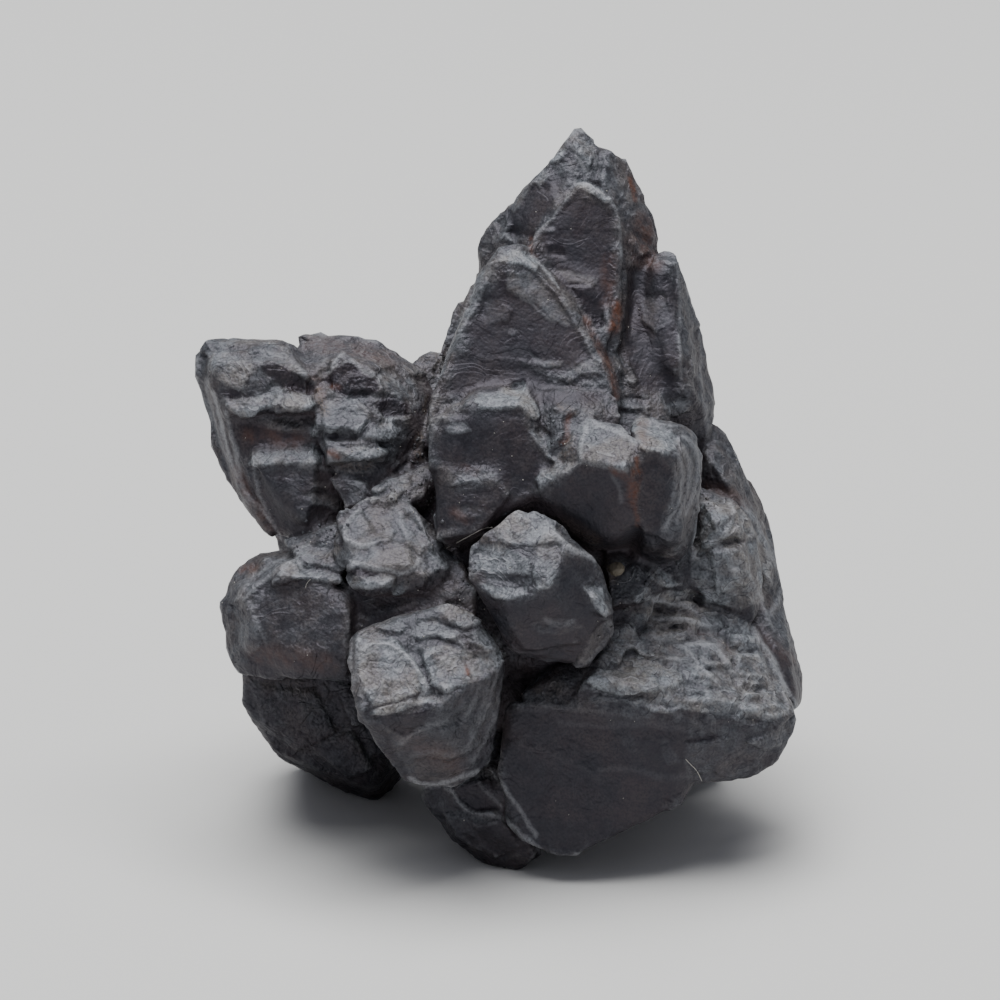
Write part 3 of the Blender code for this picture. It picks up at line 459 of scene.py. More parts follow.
        "rearTread": (0.52, 0, 0.05, 1, [(652, 598), (665, 591), (685, 591), (694, 597), (698, 607),
            (688, 604), (668, 604)]),
        "rearShade": (-0.3, 0, -0.07, 0.05, [(656, 606), (692, 607), (694, 612), (658, 611)]),
        "secondTread": (0.45, 0, 0.04, 0.94, [(652, 614), (672, 612), (700, 618), (700, 625), (676, 621),
            (655, 621)]),
        "thirdTread": (0.45, 0, 0.04, 0.94, [(653, 634), (660, 625), (684, 624), (686, 634), (686, 642),
            (668, 640)]),
        "firstSquare": (-0.35, 0, -0.08, 0.1, [(640, 644), (652, 641), (677, 644), (686, 650), (682, 656),
            (663, 654), (642, 653)]),
        "secondSquare": (-0.35, 0, -0.08, 0.1, [(692, 649), (714, 650), (723, 656), (724, 662),
            (696, 660)]),
        "thirdSquare": (-0.3, 0, -0.07, 0.1, [(686, 627), (706, 628), (709, 634), (688, 634)]),
        "fourthSquare": (-0.35, 0, -0.08, 0.1, [(716, 670), (732, 671), (738, 680), (722, 680)]),
        "fourthTread": (0.45, 0, 0.04, 1, [(686, 640), (702, 638), (716, 644), (712, 648), (692, 648)]),
        "fifthTread": (0.45, 0, 0.04, 1, [(684, 662), (700, 662), (706, 670), (716, 672), (712, 680),
            (694, 676)]),
        "oval": (0.33, 0, 0.05, 1, [(727, 634), (735, 627), (748, 628), (757, 638), (749, 643),
            (732, 642)]),
        "firstBar": (0.52, 0, 0.06, 1, [(724, 648), (740, 645), (757, 650), (760, 659), (744, 658),
            (728, 660)]),
        "secondBar": (0.52, 0, 0.06, 1, [(731, 668), (745, 669), (762, 672), (764, 679), (748, 678),
            (736, 677)]),
        "thirdBar": (0.52, 0, 0.06, 1, [(740, 686), (752, 684), (768, 688), (770, 697), (755, 698),
            (742, 698)]),
        "corner": (0.45, 0, 0.04, 1, [(727, 702), (742, 698), (765, 702), (786, 700), (790, 709),
            (780, 717), (765, 719), (750, 712), (736, 707)]),
        "lowTread": (0.59, 0, 0.05, 1, [(682, 702), (690, 696), (702, 693), (714, 696), (708, 701),
            (694, 703)]),
        "lastTread": (0.52, 0, 0.04, 0.77, [(696, 708), (706, 704), (722, 706), (716, 711), (702, 712)]),
        "lens": (0.59, 0, 0.05, 0.72, [(640, 704), (655, 703), (672, 705), (681, 709), (668, 714),
            (652, 712)]),
        "besideSnow": (0.26, 0.1, 0, 0.77, [(632, 626), (644, 620), (648, 632), (642, 645), (632, 640)]),
    },
    "broadFront": {
        "rightGround": (0, 0, 0, 0.18, [(690, 722), (745, 728), (797, 714), (797, 735), (780, 748),
            (740, 778), (690, 790), (684, 760)]),
        "leftRim": (0.2, 0, 0.02, 0.12, [(545, 705), (560, 701), (585, 707), (582, 713), (556, 712)]),
        "middleMark": (0.1, 0.1, 0.01, 0.1, [(620, 738), (632, 736), (638, 750), (628, 752)]),
        "rightMark": (0.1, -0.1, 0.01, 0.12, [(660, 742), (668, 740), (673, 752), (682, 761), (668, 765),
            (662, 755)]),
        "overhang": (-0.4, 0, -0.05, 0, [(684, 739), (716, 734), (722, 738), (690, 744)]),
        "cornerFace": (0.2, 0.35, 0.02, 0.26, [(744, 741), (766, 735), (786, 722), (797, 714), (797, 728),
            (784, 743), (764, 750)]),
        "underCorner": (0.2, 0.1, 0, 0.2, [(690, 722), (730, 720), (745, 728), (705, 732)]),
    },
    "rightKnob": {
        "ground": (0, 0, 0, 0.72, [(700, 505), (722, 498), (750, 510), (766, 540), (775, 580), (762, 602),
            (740, 610), (705, 600), (690, 575), (694, 530)]),
        "topLeft": (0.3, 0, 0.04, 0.77, [(705, 508), (722, 500), (733, 502), (736, 513), (728, 521),
            (714, 526)]),
        "topRight": (0.3, 0.2, 0.04, 0.77, [(739, 510), (750, 519), (758, 530), (750, 541), (738, 542),
            (734, 529)]),
        "middle": (0.25, 0, 0.03, 0.69, [(712, 536), (726, 540), (738, 552), (728, 560), (712, 554),
            (704, 545)]),
        "lowLeft": (0.3, 0, 0.03, 0.69, [(697, 566), (712, 571), (723, 582), (712, 586), (700, 579)]),
        "lowRight": (0.3, 0.1, 0.03, 0.77, [(729, 566), (745, 560), (753, 575), (745, 588), (735, 581)]),
        "under": (-0.2, 0, -0.03, 0.1, [(700, 590), (728, 588), (748, 600), (740, 611), (712, 606)]),
        "hollowRight": (0.4, 0, 0.08, 1, [(650, 577), (660, 569), (672, 577), (683, 584), (668, 588),
            (656, 583)]),
        "hollowLeft": (0.3, 0, 0.08, 0.69, [(630, 592), (640, 585), (652, 588), (650, 599), (635, 603)]),
        "outer": (0.1, 0.2, 0, 0.46, [(745, 496), (760, 510), (772, 535), (780, 565), (770, 570),
            (760, 540)]),
    },
    "frontFoot": {
        "upper": (-0.25, 0, -0.04, 0, [(450, 786), (490, 779), (500, 811), (470, 811)]),
        "lower": (-0.25, 0, -0.04, 0, [(472, 824), (500, 820), (528, 848), (500, 858), (480, 842)]),
    },
}

# A ridge is a raised line, or a groove where its height is below 0: width and height in millimetres,
# how pale it is, as wear and a painted highlight, and its points.
ridges = {
    "backCrystal": {
        "apexFirst": (0.14, 0.05, 0.72, [(566, 140), (572, 148), (577, 155)]),
        "apexSecond": (0.14, 0.04, 0.64, [(577, 156), (582, 163), (589, 171)]),
        "apexThird": (0.14, 0.04, 0.4, [(594, 156), (597, 168)]),
        "leftRim": (0.17, 0.04, 0.28, [(541, 162), (560, 141), (576, 132)]),
    },
    "middleCrystal": {
        "crest": (0.14, 0.04, 0.8, [(576, 183), (586, 183), (598, 190), (611, 202)]),
        "rightEdge": (0.14, 0.04, 0.35, [(611, 202), (618, 212), (620, 226), (621, 262)]),
        "rightLower": (0.16, 0.02, 0.12, [(621, 262), (618, 285), (617, 300)]),
        "leftEdge": (0.14, 0.03, 0.3, [(575, 185), (562, 204), (552, 219), (540, 229), (533, 240),
            (529, 250)]),
    },
    "frontCrystal": {
        "rightEdge": (0.14, 0.02, 0.85, [(530, 254), (541, 265), (551, 277), (558, 287)]),
        "rightMiddle": (0.12, 0.01, 0.3, [(562, 294), (569, 306), (575, 320)]),
        "rightLower": (0.12, 0.01, 0.45, [(581, 330), (590, 350), (597, 364)]),
        "besideRight": (0.45, -0.03, 0, [(548, 262), (566, 282), (582, 306), (594, 330), (606, 356)]),
        "faceLine": (0.14, 0.04, 0.36, [(520, 298), (532, 302), (543, 315), (553, 321)]),
        "leftEdge": (0.14, 0.02, 0.25, [(499, 260), (490, 278), (482, 292), (473, 308), (464, 325),
            (456, 342)]),
        "leftLower": (0.14, 0.02, 0.22, [(456, 342), (449, 353), (442, 367), (437, 382), (432, 398)]),
        "flankFirst": (0.14, 0.02, 0.2, [(488, 266), (478, 286), (470, 304), (462, 320)]),
        "flankSecond": (0.14, 0.02, 0.2, [(474, 292), (460, 318), (456, 336), (446, 354)]),
    },
    "shoulder": {
        "edge": (0.15, 0.03, 0.3, [(674, 262), (680, 285), (681, 310), (678, 340), (682, 378)]),
        "outerEdge": (0.14, 0.04, 0.32, [(687, 290), (697, 315), (702, 345), (700, 378), (704, 410),
            (708, 440)]),
        "lastEdge": (0.14, 0.03, 0.32, [(705, 405), (709, 425), (705, 442), (709, 462), (712, 478)]),
        "chip": (0.14, 0.04, 0.24, [(614, 353), (618, 368), (628, 384)]),
        "groove": (0.55, -0.14, 0, [(633, 264), (636, 290), (630, 318), (626, 340)]),
    },
    "spireFoot": {
        "outer": (0.24, 0.07, 0.5, [(437, 396), (431, 412), (425, 430), (420, 446)]),
        "inner": (0.22, 0.06, 0.35, [(445, 402), (438, 420), (430, 440)]),
    },
    "centre": {
        "topFront": (0.22, 0.06, 0.6, [(581, 461), (598, 465), (614, 469), (627, 471)]),
        "topLeft": (0.26, 0.1, 0.95, [(587, 423), (583, 438), (579, 452), (581, 461)]),
        "topRear": (0.28, 0.09, 0.8, [(586, 421), (604, 425), (622, 433), (636, 441)]),
        "skirtEdge": (0.22, 0.05, 0.4, [(538, 492), (552, 482), (566, 473), (580, 463)]),
        "between": (0.45, -0.14, 0, [(634, 448), (637, 470), (633, 494), (637, 520)]),
        "frontFold": (0.24, 0.05, 0.2, [(612, 475), (619, 484), (622, 502)]),
        "firstStria": (0.24, 0.07, 0.5, [(684, 436), (694, 445), (699, 460), (698, 478), (692, 500),
            (686, 514)]),
        "secondStria": (0.22, 0.06, 0.45, [(683, 446), (689, 462), (690, 480), (685, 502), (677, 522)]),
        "thirdStria": (0.22, 0.06, 0.45, [(679, 454), (683, 474), (681, 496), (673, 516), (663, 531)]),
        "fourthStria": (0.2, 0.05, 0.3, [(675, 470), (676, 490), (669, 512)]),
        "fifthStria": (0.2, 0.05, 0.35, [(694, 446), (704, 462), (703, 482), (696, 500)]),
        "rightRear": (0.26, 0.07, 0.5, [(640, 417), (660, 425), (678, 432)]),
    },
    "frontBlock": {
        "paleEdge": (0.32, 0.16, 1, [(553, 532), (562, 543), (577, 551), (594, 559)]),
        "brownLine": (0.24, -0.08, 0, [(488, 578), (500, 581), (516, 580)]),
        "lowFold": (0.25, 0.06, 0.35, [(545, 620), (558, 626), (572, 622)]),
        "rightRim": (0.24, 0.07, 0.3, [(604, 615), (611, 629), (604, 646), (590, 660)]),
    },
    "armOuter": {
        "firstLine": (0.2, 0.08, 0.8, [(213, 392), (218, 412), (224, 435), (232, 464), (243, 488),
            (254, 503), (266, 514), (280, 538)]),
        "secondLine": (0.2, 0.07, 0.65, [(226, 412), (230, 430), (236, 448), (238, 468), (246, 492),
            (256, 507)]),
        "thirdLine": (0.2, 0.07, 0.5, [(254, 462), (256, 482), (261, 500), (268, 516), (276, 530)]),
        "outerLine": (0.2, 0.05, 0.35, [(206, 378), (209, 402), (216, 430), (228, 460), (240, 484)]),
        "topRidge": (0.3, 0.07, 0.4, [(262, 352), (282, 354), (298, 365), (314, 382)]),
        "stripLine": (0.22, 0.07, 0.5, [(300, 464), (318, 467), (336, 472)]),
        "cleft": (0.4, -0.22, 0, [(318, 400), (320, 425), (321, 445), (324, 464)]),
        "topCleft": (0.35, -0.08, 0, [(288, 346), (296, 353), (306, 366), (318, 382)]),
    },
    "armInner": {
        "firstRidge": (0.22, 0.09, 0.8, [(329, 371), (335, 364), (338, 358), (343, 353)]),
        "secondRidge": (0.22, 0.09, 0.7, [(351, 361), (361, 369), (372, 373), (379, 378)]),
        "thirdRidge": (0.2, 0.05, 0.4, [(382, 372), (390, 376), (398, 384)]),
        "deepLine": (0.5, -0.25, 0, [(398, 463), (412, 453), (419, 441)]),
    },
    "leftKnob": {
        "crescent": (0.26, 0.1, 1, [(359, 511), (349, 520), (344, 533), (348, 543), (360, 547),
            (373, 545)]),
        "lowerEdge": (0.22, 0.09, 0.85, [(352, 561), (372, 568), (390, 571), (405, 574), (416, 568),
            (419, 558)]),
        "firstFold": (0.24, 0.06, 0.35, [(393, 505), (401, 517), (405, 532)]),
        "secondFold": (0.24, 0.07, 0.35, [(408, 503), (418, 517), (426, 534), (433, 550)]),
        "groove": (0.28, -0.14, 0, [(424, 520), (432, 540), (438, 560)]),
        "stepEdge": (0.2, 0.06, 0.6, [(341, 584), (360, 588), (380, 588), (393, 580)]),
    },
    "leftBlock": {
        "crest": (0.24, 0.08, 0.9, [(279, 574), (286, 565), (297, 558), (301, 566)]),
        "flankFirst": (0.22, 0.06, 0.4, [(243, 600), (260, 583), (282, 566), (305, 552)]),
        "flankSecond": (0.2, 0.05, 0.35, [(236, 598), (252, 578), (278, 560), (308, 546)]),
        "leftEdge": (0.24, 0.05, 0.25, [(250, 602), (256, 624), (266, 641)]),
    },
    "lowerBlock": {
        "crest": (0.24, 0.11, 1, [(361, 649), (373, 645), (388, 644), (402, 651), (415, 665), (425, 681),
            (427, 690), (420, 698)]),
        "leftFirst": (0.2, 0.06, 0.5, [(358, 636), (355, 655), (357, 680)]),
        "leftSecond": (0.2, 0.05, 0.35, [(353, 645), (350, 666), (353, 684)]),
        "topGroove": (0.26, -0.1, 0, [(424, 638), (444, 640), (458, 647)]),
        "jLine": (0.22, 0.06, 0.4, [(425, 636), (442, 632), (460, 640), (466, 652)]),
        "frontFirst": (0.22, 0.06, 0.3, [(498, 672), (490, 700), (478, 728), (465, 752)]),
        "frontSecond": (0.22, 0.06, 0.25, [(504, 676), (499, 706), (488, 736), (472, 762)]),
        "frontThird": (0.2, 0.05, 0.25, [(488, 690), (480, 712), (470, 735)]),
        "bottomRim": (0.24, 0.08, 0.8, [(411, 779), (425, 784), (438, 784), (453, 781), (465, 774),
            (478, 772)]),
        "frontFold": (0.28, 0.1, 0.3, [(402, 742), (420, 729), (446, 720)]),
        "frontStep": (0.3, 0.1, 0.2, [(412, 756), (430, 752), (448, 757), (462, 750)]),
        "frontFourth": (0.22, 0.07, 0.25, [(480, 684), (474, 704), (462, 722)]),
        "underStep": (0.34, -0.12, 0, [(414, 764), (432, 760), (450, 765)]),
    },
    "broadTop": {
        "firstRow": (0.26, 0.11, 0.95, [(653, 600), (672, 604), (688, 606), (696, 613)]),
        "secondRow": (0.24, 0.11, 0.95, [(655, 619), (676, 619), (692, 620), (704, 626)]),
        "thirdRow": (0.26, 0.12, 1, [(653, 637), (670, 640), (684, 646), (694, 656), (698, 668)]),
        "fourthRow": (0.26, 0.12, 1, [(684, 644), (702, 643), (714, 646), (722, 655), (728, 666),
            (734, 676)]),
        "fifthRow": (0.24, 0.11, 0.9, [(668, 658), (686, 661), (704, 670), (716, 680)]),
        "diagonal": (0.22, 0.06, 0.4, [(704, 624), (713, 637), (722, 651), (731, 668), (740, 686),
            (748, 700)]),
        "rightEdge": (0.24, 0.09, 0.8, [(752, 629), (761, 641), (771, 655), (777, 669), (783, 683),
            (791, 696), (797, 709)]),
        "innerRight": (0.2, 0.05, 0.35, [(756, 652), (764, 668), (770, 684), (774, 696)]),
        "underFirst": (0.26, -0.12, 0, [(656, 608), (674, 610), (690, 614)]),
        "underSecond": (0.26, -0.12, 0, [(658, 626), (678, 626), (696, 629), (706, 634)]),
        "underSnowRow": (0.26, -0.12, 0, [(690, 664), (704, 666), (716, 670), (724, 678)]),
        "underFifth": (0.26, -0.12, 0, [(686, 684), (702, 686), (718, 690), (732, 692)]),
        "firstSlot": (0.2, -0.1, 0, [(730, 663), (744, 664), (758, 668)]),
        "secondSlot": (0.2, -0.1, 0, [(738, 679), (750, 680), (763, 682)]),
        "vMark": (0.2, -0.12, 0, [(712, 638), (721, 631), (729, 623)]),
        "rearCrevice": (0.3, -0.14, 0, [(688, 583), (693, 596), (702, 606), (718, 609), (736, 614),
            (750, 618)]),
        "underSnow": (0.4, -0.1, 0, [(590, 691), (610, 697), (640, 697), (670, 694), (684, 690)]),
        "underCrest": (0.45, -0.12, 0, [(640, 713), (680, 717), (720, 714), (742, 714), (768, 725),
            (784, 718)]),
        "frontEdge": (0.26, 0.05, 0.25, [(600, 699), (640, 700), (680, 716)]),
    },
    "broadFront": {
        "firstWave": (0.3, 0.03, 0.1, [(530, 702), (560, 706), (600, 712), (640, 718)]),
        "secondWave": (0.3, 0.04, 0.1, [(560, 722), (600, 726), (650, 724), (690, 730)]),
        "slot": (0.22, -0.1, 0, [(684, 741), (702, 740), (720, 736), (734, 734)]),
        "thirdWave": (0.34, 0.05, 0.05, [(520, 742), (550, 752), (580, 764), (600, 780)]),
        "fourthWave": (0.34, 0.04, 0.1, [(600, 770), (630, 766), (660, 778), (690, 776)]),
    },
    "rightKnob": {
        "peak": (0.22, 0.08, 0.6, [(730, 502), (735, 514), (731, 525), (722, 537)]),
        "outer": (0.22, 0.07, 0.45, [(742, 502), (756, 520), (764, 538), (770, 560)]),
        "lowOuter": (0.22, 0.07, 0.5, [(752, 580), (761, 600), (768, 618), (774, 630)]),
        "farOuter": (0.22, 0.07, 0.5, [(783, 588), (776, 606), (769, 616)]),
        "hookTop": (0.22, 0.07, 0.4, [(694, 512), (702, 503), (710, 502)]),
        "middle": (0.22, 0.06, 0.35, [(716, 542), (728, 552), (738, 562), (750, 566)]),
        "gap": (0.36, -0.16, 0, [(704, 504), (698, 524), (692, 548), (690, 572)]),
        "outerGap": (0.36, -0.12, 0, [(757, 512), (766, 532), (774, 560)]),
    },
    "frontFoot": {
        "upper": (0.24, 0.08, 0.6, [(446, 783), (458, 802), (470, 813), (490, 814), (506, 820),
            (522, 836), (540, 849)]),
        "right": (0.22, 0.08, 0.6, [(492, 768), (500, 782), (512, 799), (525, 818), (536, 836)]),
        "middle": (0.2, 0.06, 0.35, [(476, 778), (488, 793), (502, 807)]),
    },
}

# Pits, and knobs where the depth is below 0: radius and depth in millimetres, and the middle.
dents = {
    "backCrystal": [(0.6, 0.2, (515, 232)), (0.32, 0.1, (520, 243)), (0.32, 0.1, (493, 251)),
        (0.3, 0.08, (550, 170)), (0.5, 0.08, (545, 188)), (0.35, 0.1, (622, 203))],
    "frontCrystal": [(0.4, 0.08, (553, 250)), (0.5, 0.08, (494, 376)), (0.6, 0.06, (528, 286))],
    "centre": [(0.62, 0.07, (597, 446)), (0.3, -0.1, (544, 424)), (0.28, -0.1, (556, 409)),
        (0.26, -0.1, (585, 414)), (0.26, -0.1, (592, 415)), (0.26, -0.12, (648, 404))],
    "frontBlock": [(0.4, 0.08, (526, 527)), (0.45, 0.08, (512, 538)), (0.35, 0.08, (545, 558))],
    "arm": [(0.3, 0.12, (291, 355)), (0.3, 0.08, (333, 347)), (0.35, 0.1, (235, 347)),
        (0.3, 0.1, (268, 349))],
    "leftKnob": [(0.5, 0.14, (378, 531)), (0.25, -0.07, (378, 531))],
    "lowerBlock": [(0.28, 0.18, (471, 648)), (0.4, 0.06, (452, 627)), (0.3, 0.08, (467, 668))],
    "broadTop": [(0.3, 0.1, (629, 668)), (0.34, 0.12, (655, 673)), (0.25, 0.1, (640, 680)),
        (0.24, 0.1, (748, 703)), (0.22, 0.1, (766, 708)), (0.22, 0.1, (757, 692)),
        (0.26, -0.12, (634, 628)), (0.26, -0.12, (642, 634)), (0.24, -0.12, (629, 643)),
        (0.26, -0.12, (623, 652)), (0.24, -0.12, (657, 626))],
    "rightKnob": [(0.3, 0.1, (714, 518)), (0.35, 0.12, (748, 534)), (0.3, 0.12, (722, 566)),
        (0.3, 0.1, (742, 592)), (0.3, -0.12, (700, 510)), (0.3, -0.12, (692, 530)),
        (0.28, -0.12, (686, 548)), (0.26, -0.14, (677, 561)), (0.24, -0.12, (700, 522))],
}

# The faces that are smoother and darker than the rest: how smooth, and the outline.
smoothFaces = {
    "middleCrystal": (0.9, [(560, 208), (578, 194), (600, 204), (612, 214), (614, 262), (611, 300),
        (600, 322), (583, 305), (560, 282), (545, 255), (541, 236)]),
    "backLeft": (0.8, [(506, 212), (540, 178), (568, 176), (552, 206), (532, 232), (512, 240)]),
    "shoulder": (0.85, [(628, 268), (660, 266), (678, 285), (678, 394), (640, 390), (622, 345)]),
    "frontUpper": (0.9, [(484, 300), (504, 272), (534, 276), (560, 302), (576, 330), (594, 358),
        (560, 374), (528, 362), (470, 360), (466, 330)]),
    "frontLower": (0.85, [(456, 356), (520, 358), (556, 386), (606, 394), (600, 404), (540, 406),
        (516, 382), (490, 392), (448, 396)]),
    "spireFoot": (0.85, [(460, 412), (519, 412), (532, 440), (548, 462), (532, 490), (514, 498),
        (488, 466), (446, 470), (432, 450)]),
    "footLeft": (0.75, [(430, 470), (452, 490), (500, 486), (508, 502), (470, 534), (436, 530)]),
    "centreLeft": (0.7, [(546, 496), (581, 463), (612, 471), (630, 476), (634, 505), (644, 558),
        (600, 545), (560, 518)]),
    "centreRight": (0.7, [(641, 454), (666, 459), (674, 474), (668, 506), (654, 536), (645, 540),
        (641, 500)]),
    "frontSide": (0.65, [(562, 556), (592, 562), (598, 574), (583, 586), (592, 610), (612, 624),
        (604, 648), (570, 612), (556, 594)]),
    "frontLow": (0.5, [(480, 600), (520, 602), (552, 598), (585, 612), (604, 640), (570, 664), (520, 656),
        (492, 626)]),
    "broadFront": (0.75, [(505, 706), (560, 712), (640, 722), (684, 722), (696, 745), (690, 780),
        (680, 792), (640, 822), (570, 852), (540, 846), (510, 800), (500, 740)]),
    "broadRight": (0.7, [(756, 628), (790, 660), (800, 690), (798, 706), (782, 680), (772, 652)]),
    "lowerFront": (0.2, [(378, 719), (404, 715), (440, 706), (470, 691), (494, 678), (488, 722),
        (468, 760), (440, 780), (412, 776), (394, 748)]),
    "armMaroon": (0.8, [(228, 418), (258, 422), (300, 434), (312, 441), (290, 447), (256, 450),
        (244, 456), (234, 444)]),
    "armDark": (0.65, [(262, 470), (300, 468), (344, 474), (352, 500), (300, 536), (278, 526), (264, 500)]),
    "armFlank": (0.6, [(200, 380), (214, 396), (238, 470), (270, 530), (262, 532), (224, 468)]),
    "leftBlock": (0.42, [(251, 600), (264, 588), (300, 582), (344, 588), (360, 608), (354, 636),
        (338, 656), (300, 652), (264, 640)]),
    "leftKnob": (0.55, [(346, 516), (370, 504), (400, 508), (420, 530), (424, 560), (404, 578),
        (360, 572), (344, 552)]),
    "leftUnder": (0.6, [(246, 646), (290, 656), (345, 668), (345, 680), (260, 672)]),
    "footUpper": (0.5, [(450, 786), (498, 780), (502, 811), (470, 811)]),
    "footLower": (0.5, [(472, 826), (500, 821), (530, 850), (490, 858)]),
}

# Rust stains: width in millimetres, strength and points.
rustLines = {
    "middleSpot": (0.5, 1, [(616, 303), (617, 318), (613, 331)]),
    "middleStreak": (0.8, 0.4, [(610, 262), (608, 300)]),
    "backSpots": (0.25, 0.9, [(629, 178), (634, 190), (635, 200)]),
    "backStain": (1, 0.45, [(642, 222), (648, 245), (654, 262)]),
    "backLower": (0.8, 0.3, [(634, 240), (640, 262)]),
    "edgeSpot": (0.22, 0.8, [(531, 238), (530, 250), (536, 256)]),
    "frontEdge": (0.36, 0.6, [(586, 318), (594, 336), (604, 356), (612, 376), (617, 396)]),
    "cleftTop": (0.24, 0.7, [(636, 458), (638, 476)]),
    "cleftMiddle": (0.5, 0.95, [(637, 472), (634, 488), (631, 502)]),
    "cleftFoot": (0.26, 0.7, [(632, 500), (635, 512), (638, 524)]),
    "centreArch": (0.35, 0.6, [(612, 469), (625, 476), (632, 488)]),
    "centreSide": (0.3, 0.95, [(571, 415), (566, 425), (567, 437), (563, 442)]),
    "centreTop": (0.7, 0.35, [(643, 424), (644, 442)]),
    "armTop": (0.35, 0.6, [(312, 376), (320, 384), (322, 394)]),
    "armSpot": (0.28, 0.7, [(333, 386), (340, 388)]),
    "armLedge": (0.34, 0.8, [(330, 452), (337, 457)]),
    "armFace": (1, 0.35, [(250, 434), (300, 441)]),
    "armFlank": (0.6, 0.35, [(236, 470), (256, 508), (276, 534)]),
    "armUpper": (1, 0.28, [(310, 346), (350, 346), (390, 358)]),
    "footSmear": (0.4, 0.5, [(464, 468), (474, 472)]),
    "footLow": (0.5, 0.35, [(454, 512), (468, 520)]),
    "blockSpot": (0.24, 1, [(467, 664), (468, 673)]),
    "leftSpot": (0.45, 0.55, [(242, 569), (254, 567)]),
    "leftUnder": (1, 0.3, [(256, 652), (330, 664)]),
    "farRight": (0.8, 0.22, [(762, 634), (790, 660)]),
    "lowFront": (1.2, 0.25, [(415, 745), (455, 762)]),
    "treads": (0.6, 0.25, [(690, 634), (715, 636), (728, 652)]),
    "knobTop": (0.6, 0.3, [(708, 486), (730, 492), (748, 506)]),
}

# Tan dirt, in the same way.
tanLines = {
    "armGap": (0.4, 0.7, [(421, 436), (416, 448), (420, 458)]),
    "armGapTop": (0.3, 0.7, [(428, 398), (424, 412)]),
    "centreSide": (0.5, 0.5, [(570, 440), (570, 450), (562, 459)]),
    "centreTop": (0.5, 0.5, [(643, 420), (641, 436)]),
    "armLedge": (0.5, 0.5, [(345, 468), (370, 467)]),
    "armMiddle": (0.45, 0.65, [(318, 392), (321, 404), (326, 412)]),
    "behindCrystal": (0.9, 0.35, [(424, 360), (442, 354)]),
    "lowerFace": (0.7, 0.3, [(388, 690), (410, 672)]),
    "grainBed": (0.45, 0.5, [(604, 556), (612, 580)]),
    "frontTop": (0.5, 0.3, [(480, 538), (498, 546)]),
    "frontSpine": (0.6, 0.3, [(566, 524), (596, 540)]),
    "footEdge": (0.35, 0.4, [(560, 406), (575, 412)]),
    "outerFoot": (0.3, 0.3, [(436, 400), (424, 432)]),
}


# The stone.
stone = {
    "mergeGap": 0.001 * mm,
    "voxel": 0.15 * mm,
    "edgeRounding": 2,
    "evening": 2,  # rounds for normals and for what is seen
    "melting": 30,  # rounds for the smooth faces
    "apexRoom": 0.15 * mm,  # how far the apex may pass the CAD mesh
    "triangles": 197000,
    "seenWeight": 0.25,  # how freely the seen side may lose faces, next to 1 for the rest
    "weightLevels": 8,
    "weightPull": 0.004,
}

# Its growth. A noise has a size, a dimension, the step between its octaves and how many there are.
growth = {
    "bend": (2.2 * mm, 0.5 * mm),  # size and reach
    "terraces": (2.4 * mm, 0.9, 2.0, 2),
    "terraceSteps": 4.0,
    "terraceRise": 0.09 * mm,
    "riser": 0.28,  # share of a step that is steep
    "lumps": (1.4 * mm, 0.9, 2.1, 3),
    "lumpRise": 0.10 * mm,
    "dimpleSize": 0.85 * mm,
    "dimpleDepth": 0.10 * mm,
    "dimpleLevel": 0.25,
    "ripples": (0.50 * mm, 0.6, 2.1, 2),
    "rippleRise": 0.060 * mm,
}

# What is drawn. A fade is the width of a border in pixels.
strokes = {
    "wander": ((0.9 * mm, 1.7), (0.35 * mm, 0.9)),  # sizes, and the pixels that a drawn line strays
    "plateFade": 0.22 * mm / pixel,
    "plateMost": 0.36 * mm,
    "paleFade": 2.2,
    "smoothFade": 10,
    "taper": 6,  # how soon a ridge rises from its ends, and how high it starts
    "taperStart": 0.15,
    "spill": 1.15,  # how far colour reaches past the middle of a line, in its widths
}

# The facets where nothing is drawn.
wild = {
    "size": 3.0 * mm,
    "bendFineness": 1.7,
    "bendReach": 0.22,
    "border": 0.16,
    "cellStep": 7.3,
    "turn": 0.20,
    "lift": 0.12 * mm,
    "sunk": 0.35,
    "behindRim": 0.05,  # they start this far behind the outline in the picture, which stays as it is
    "rimSpan": 0.4,
    "least": 0.02,
    # paleness: how much paler the random facets are where they face up, as painted light from above
    "paleness": 0.15,
    # how pale what faces up is where the camera doesn't see: painted light from above
    "crustAndTopLight": 0.60,
    "smooth": 0.60,  # how smooth the faces are that don't face up
    "bareTopLight": 0.30,  # how pale what faces up is on the seen side where nothing is drawn: painted light from above
    "steepness": 0.8,
    "paleLevel": 0.35,  # how much something upright counts as facing up, for paleness, smoothness and the crust, that is, for painted light from above
    "smoothLevel": 0.15,
    "topLightLevel": -0.05,
}


def stoneBlank():
    source = bmesh.new()
    source.from_mesh(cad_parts["goethite_cluster"].data)
    bmesh.ops.remove_doubles(source, verts=source.verts, dist=stone["mergeGap"])
    obj = added("goethite_skin", meshFrom("goethite_skin", source))
    remesh = obj.modifiers.new("Voxels", "REMESH")
    remesh.mode = "VOXEL"
    remesh.voxel_size = stone["voxel"]
    return applied(obj)


def noiseAt(point, settings):
    size, dimension, octaveStep, octaves = settings
    return noise.fractal(point / size, dimension, octaveStep, octaves)


def terraces(height):
    # flat treads with short steep risers between them
    scaled = height * growth["terraceSteps"]
    tread = np.floor(scaled)
    riser = growth["riser"]
    return (tread + eased((scaled - tread - (1 - riser)) / riser)) / growth["terraceSteps"]


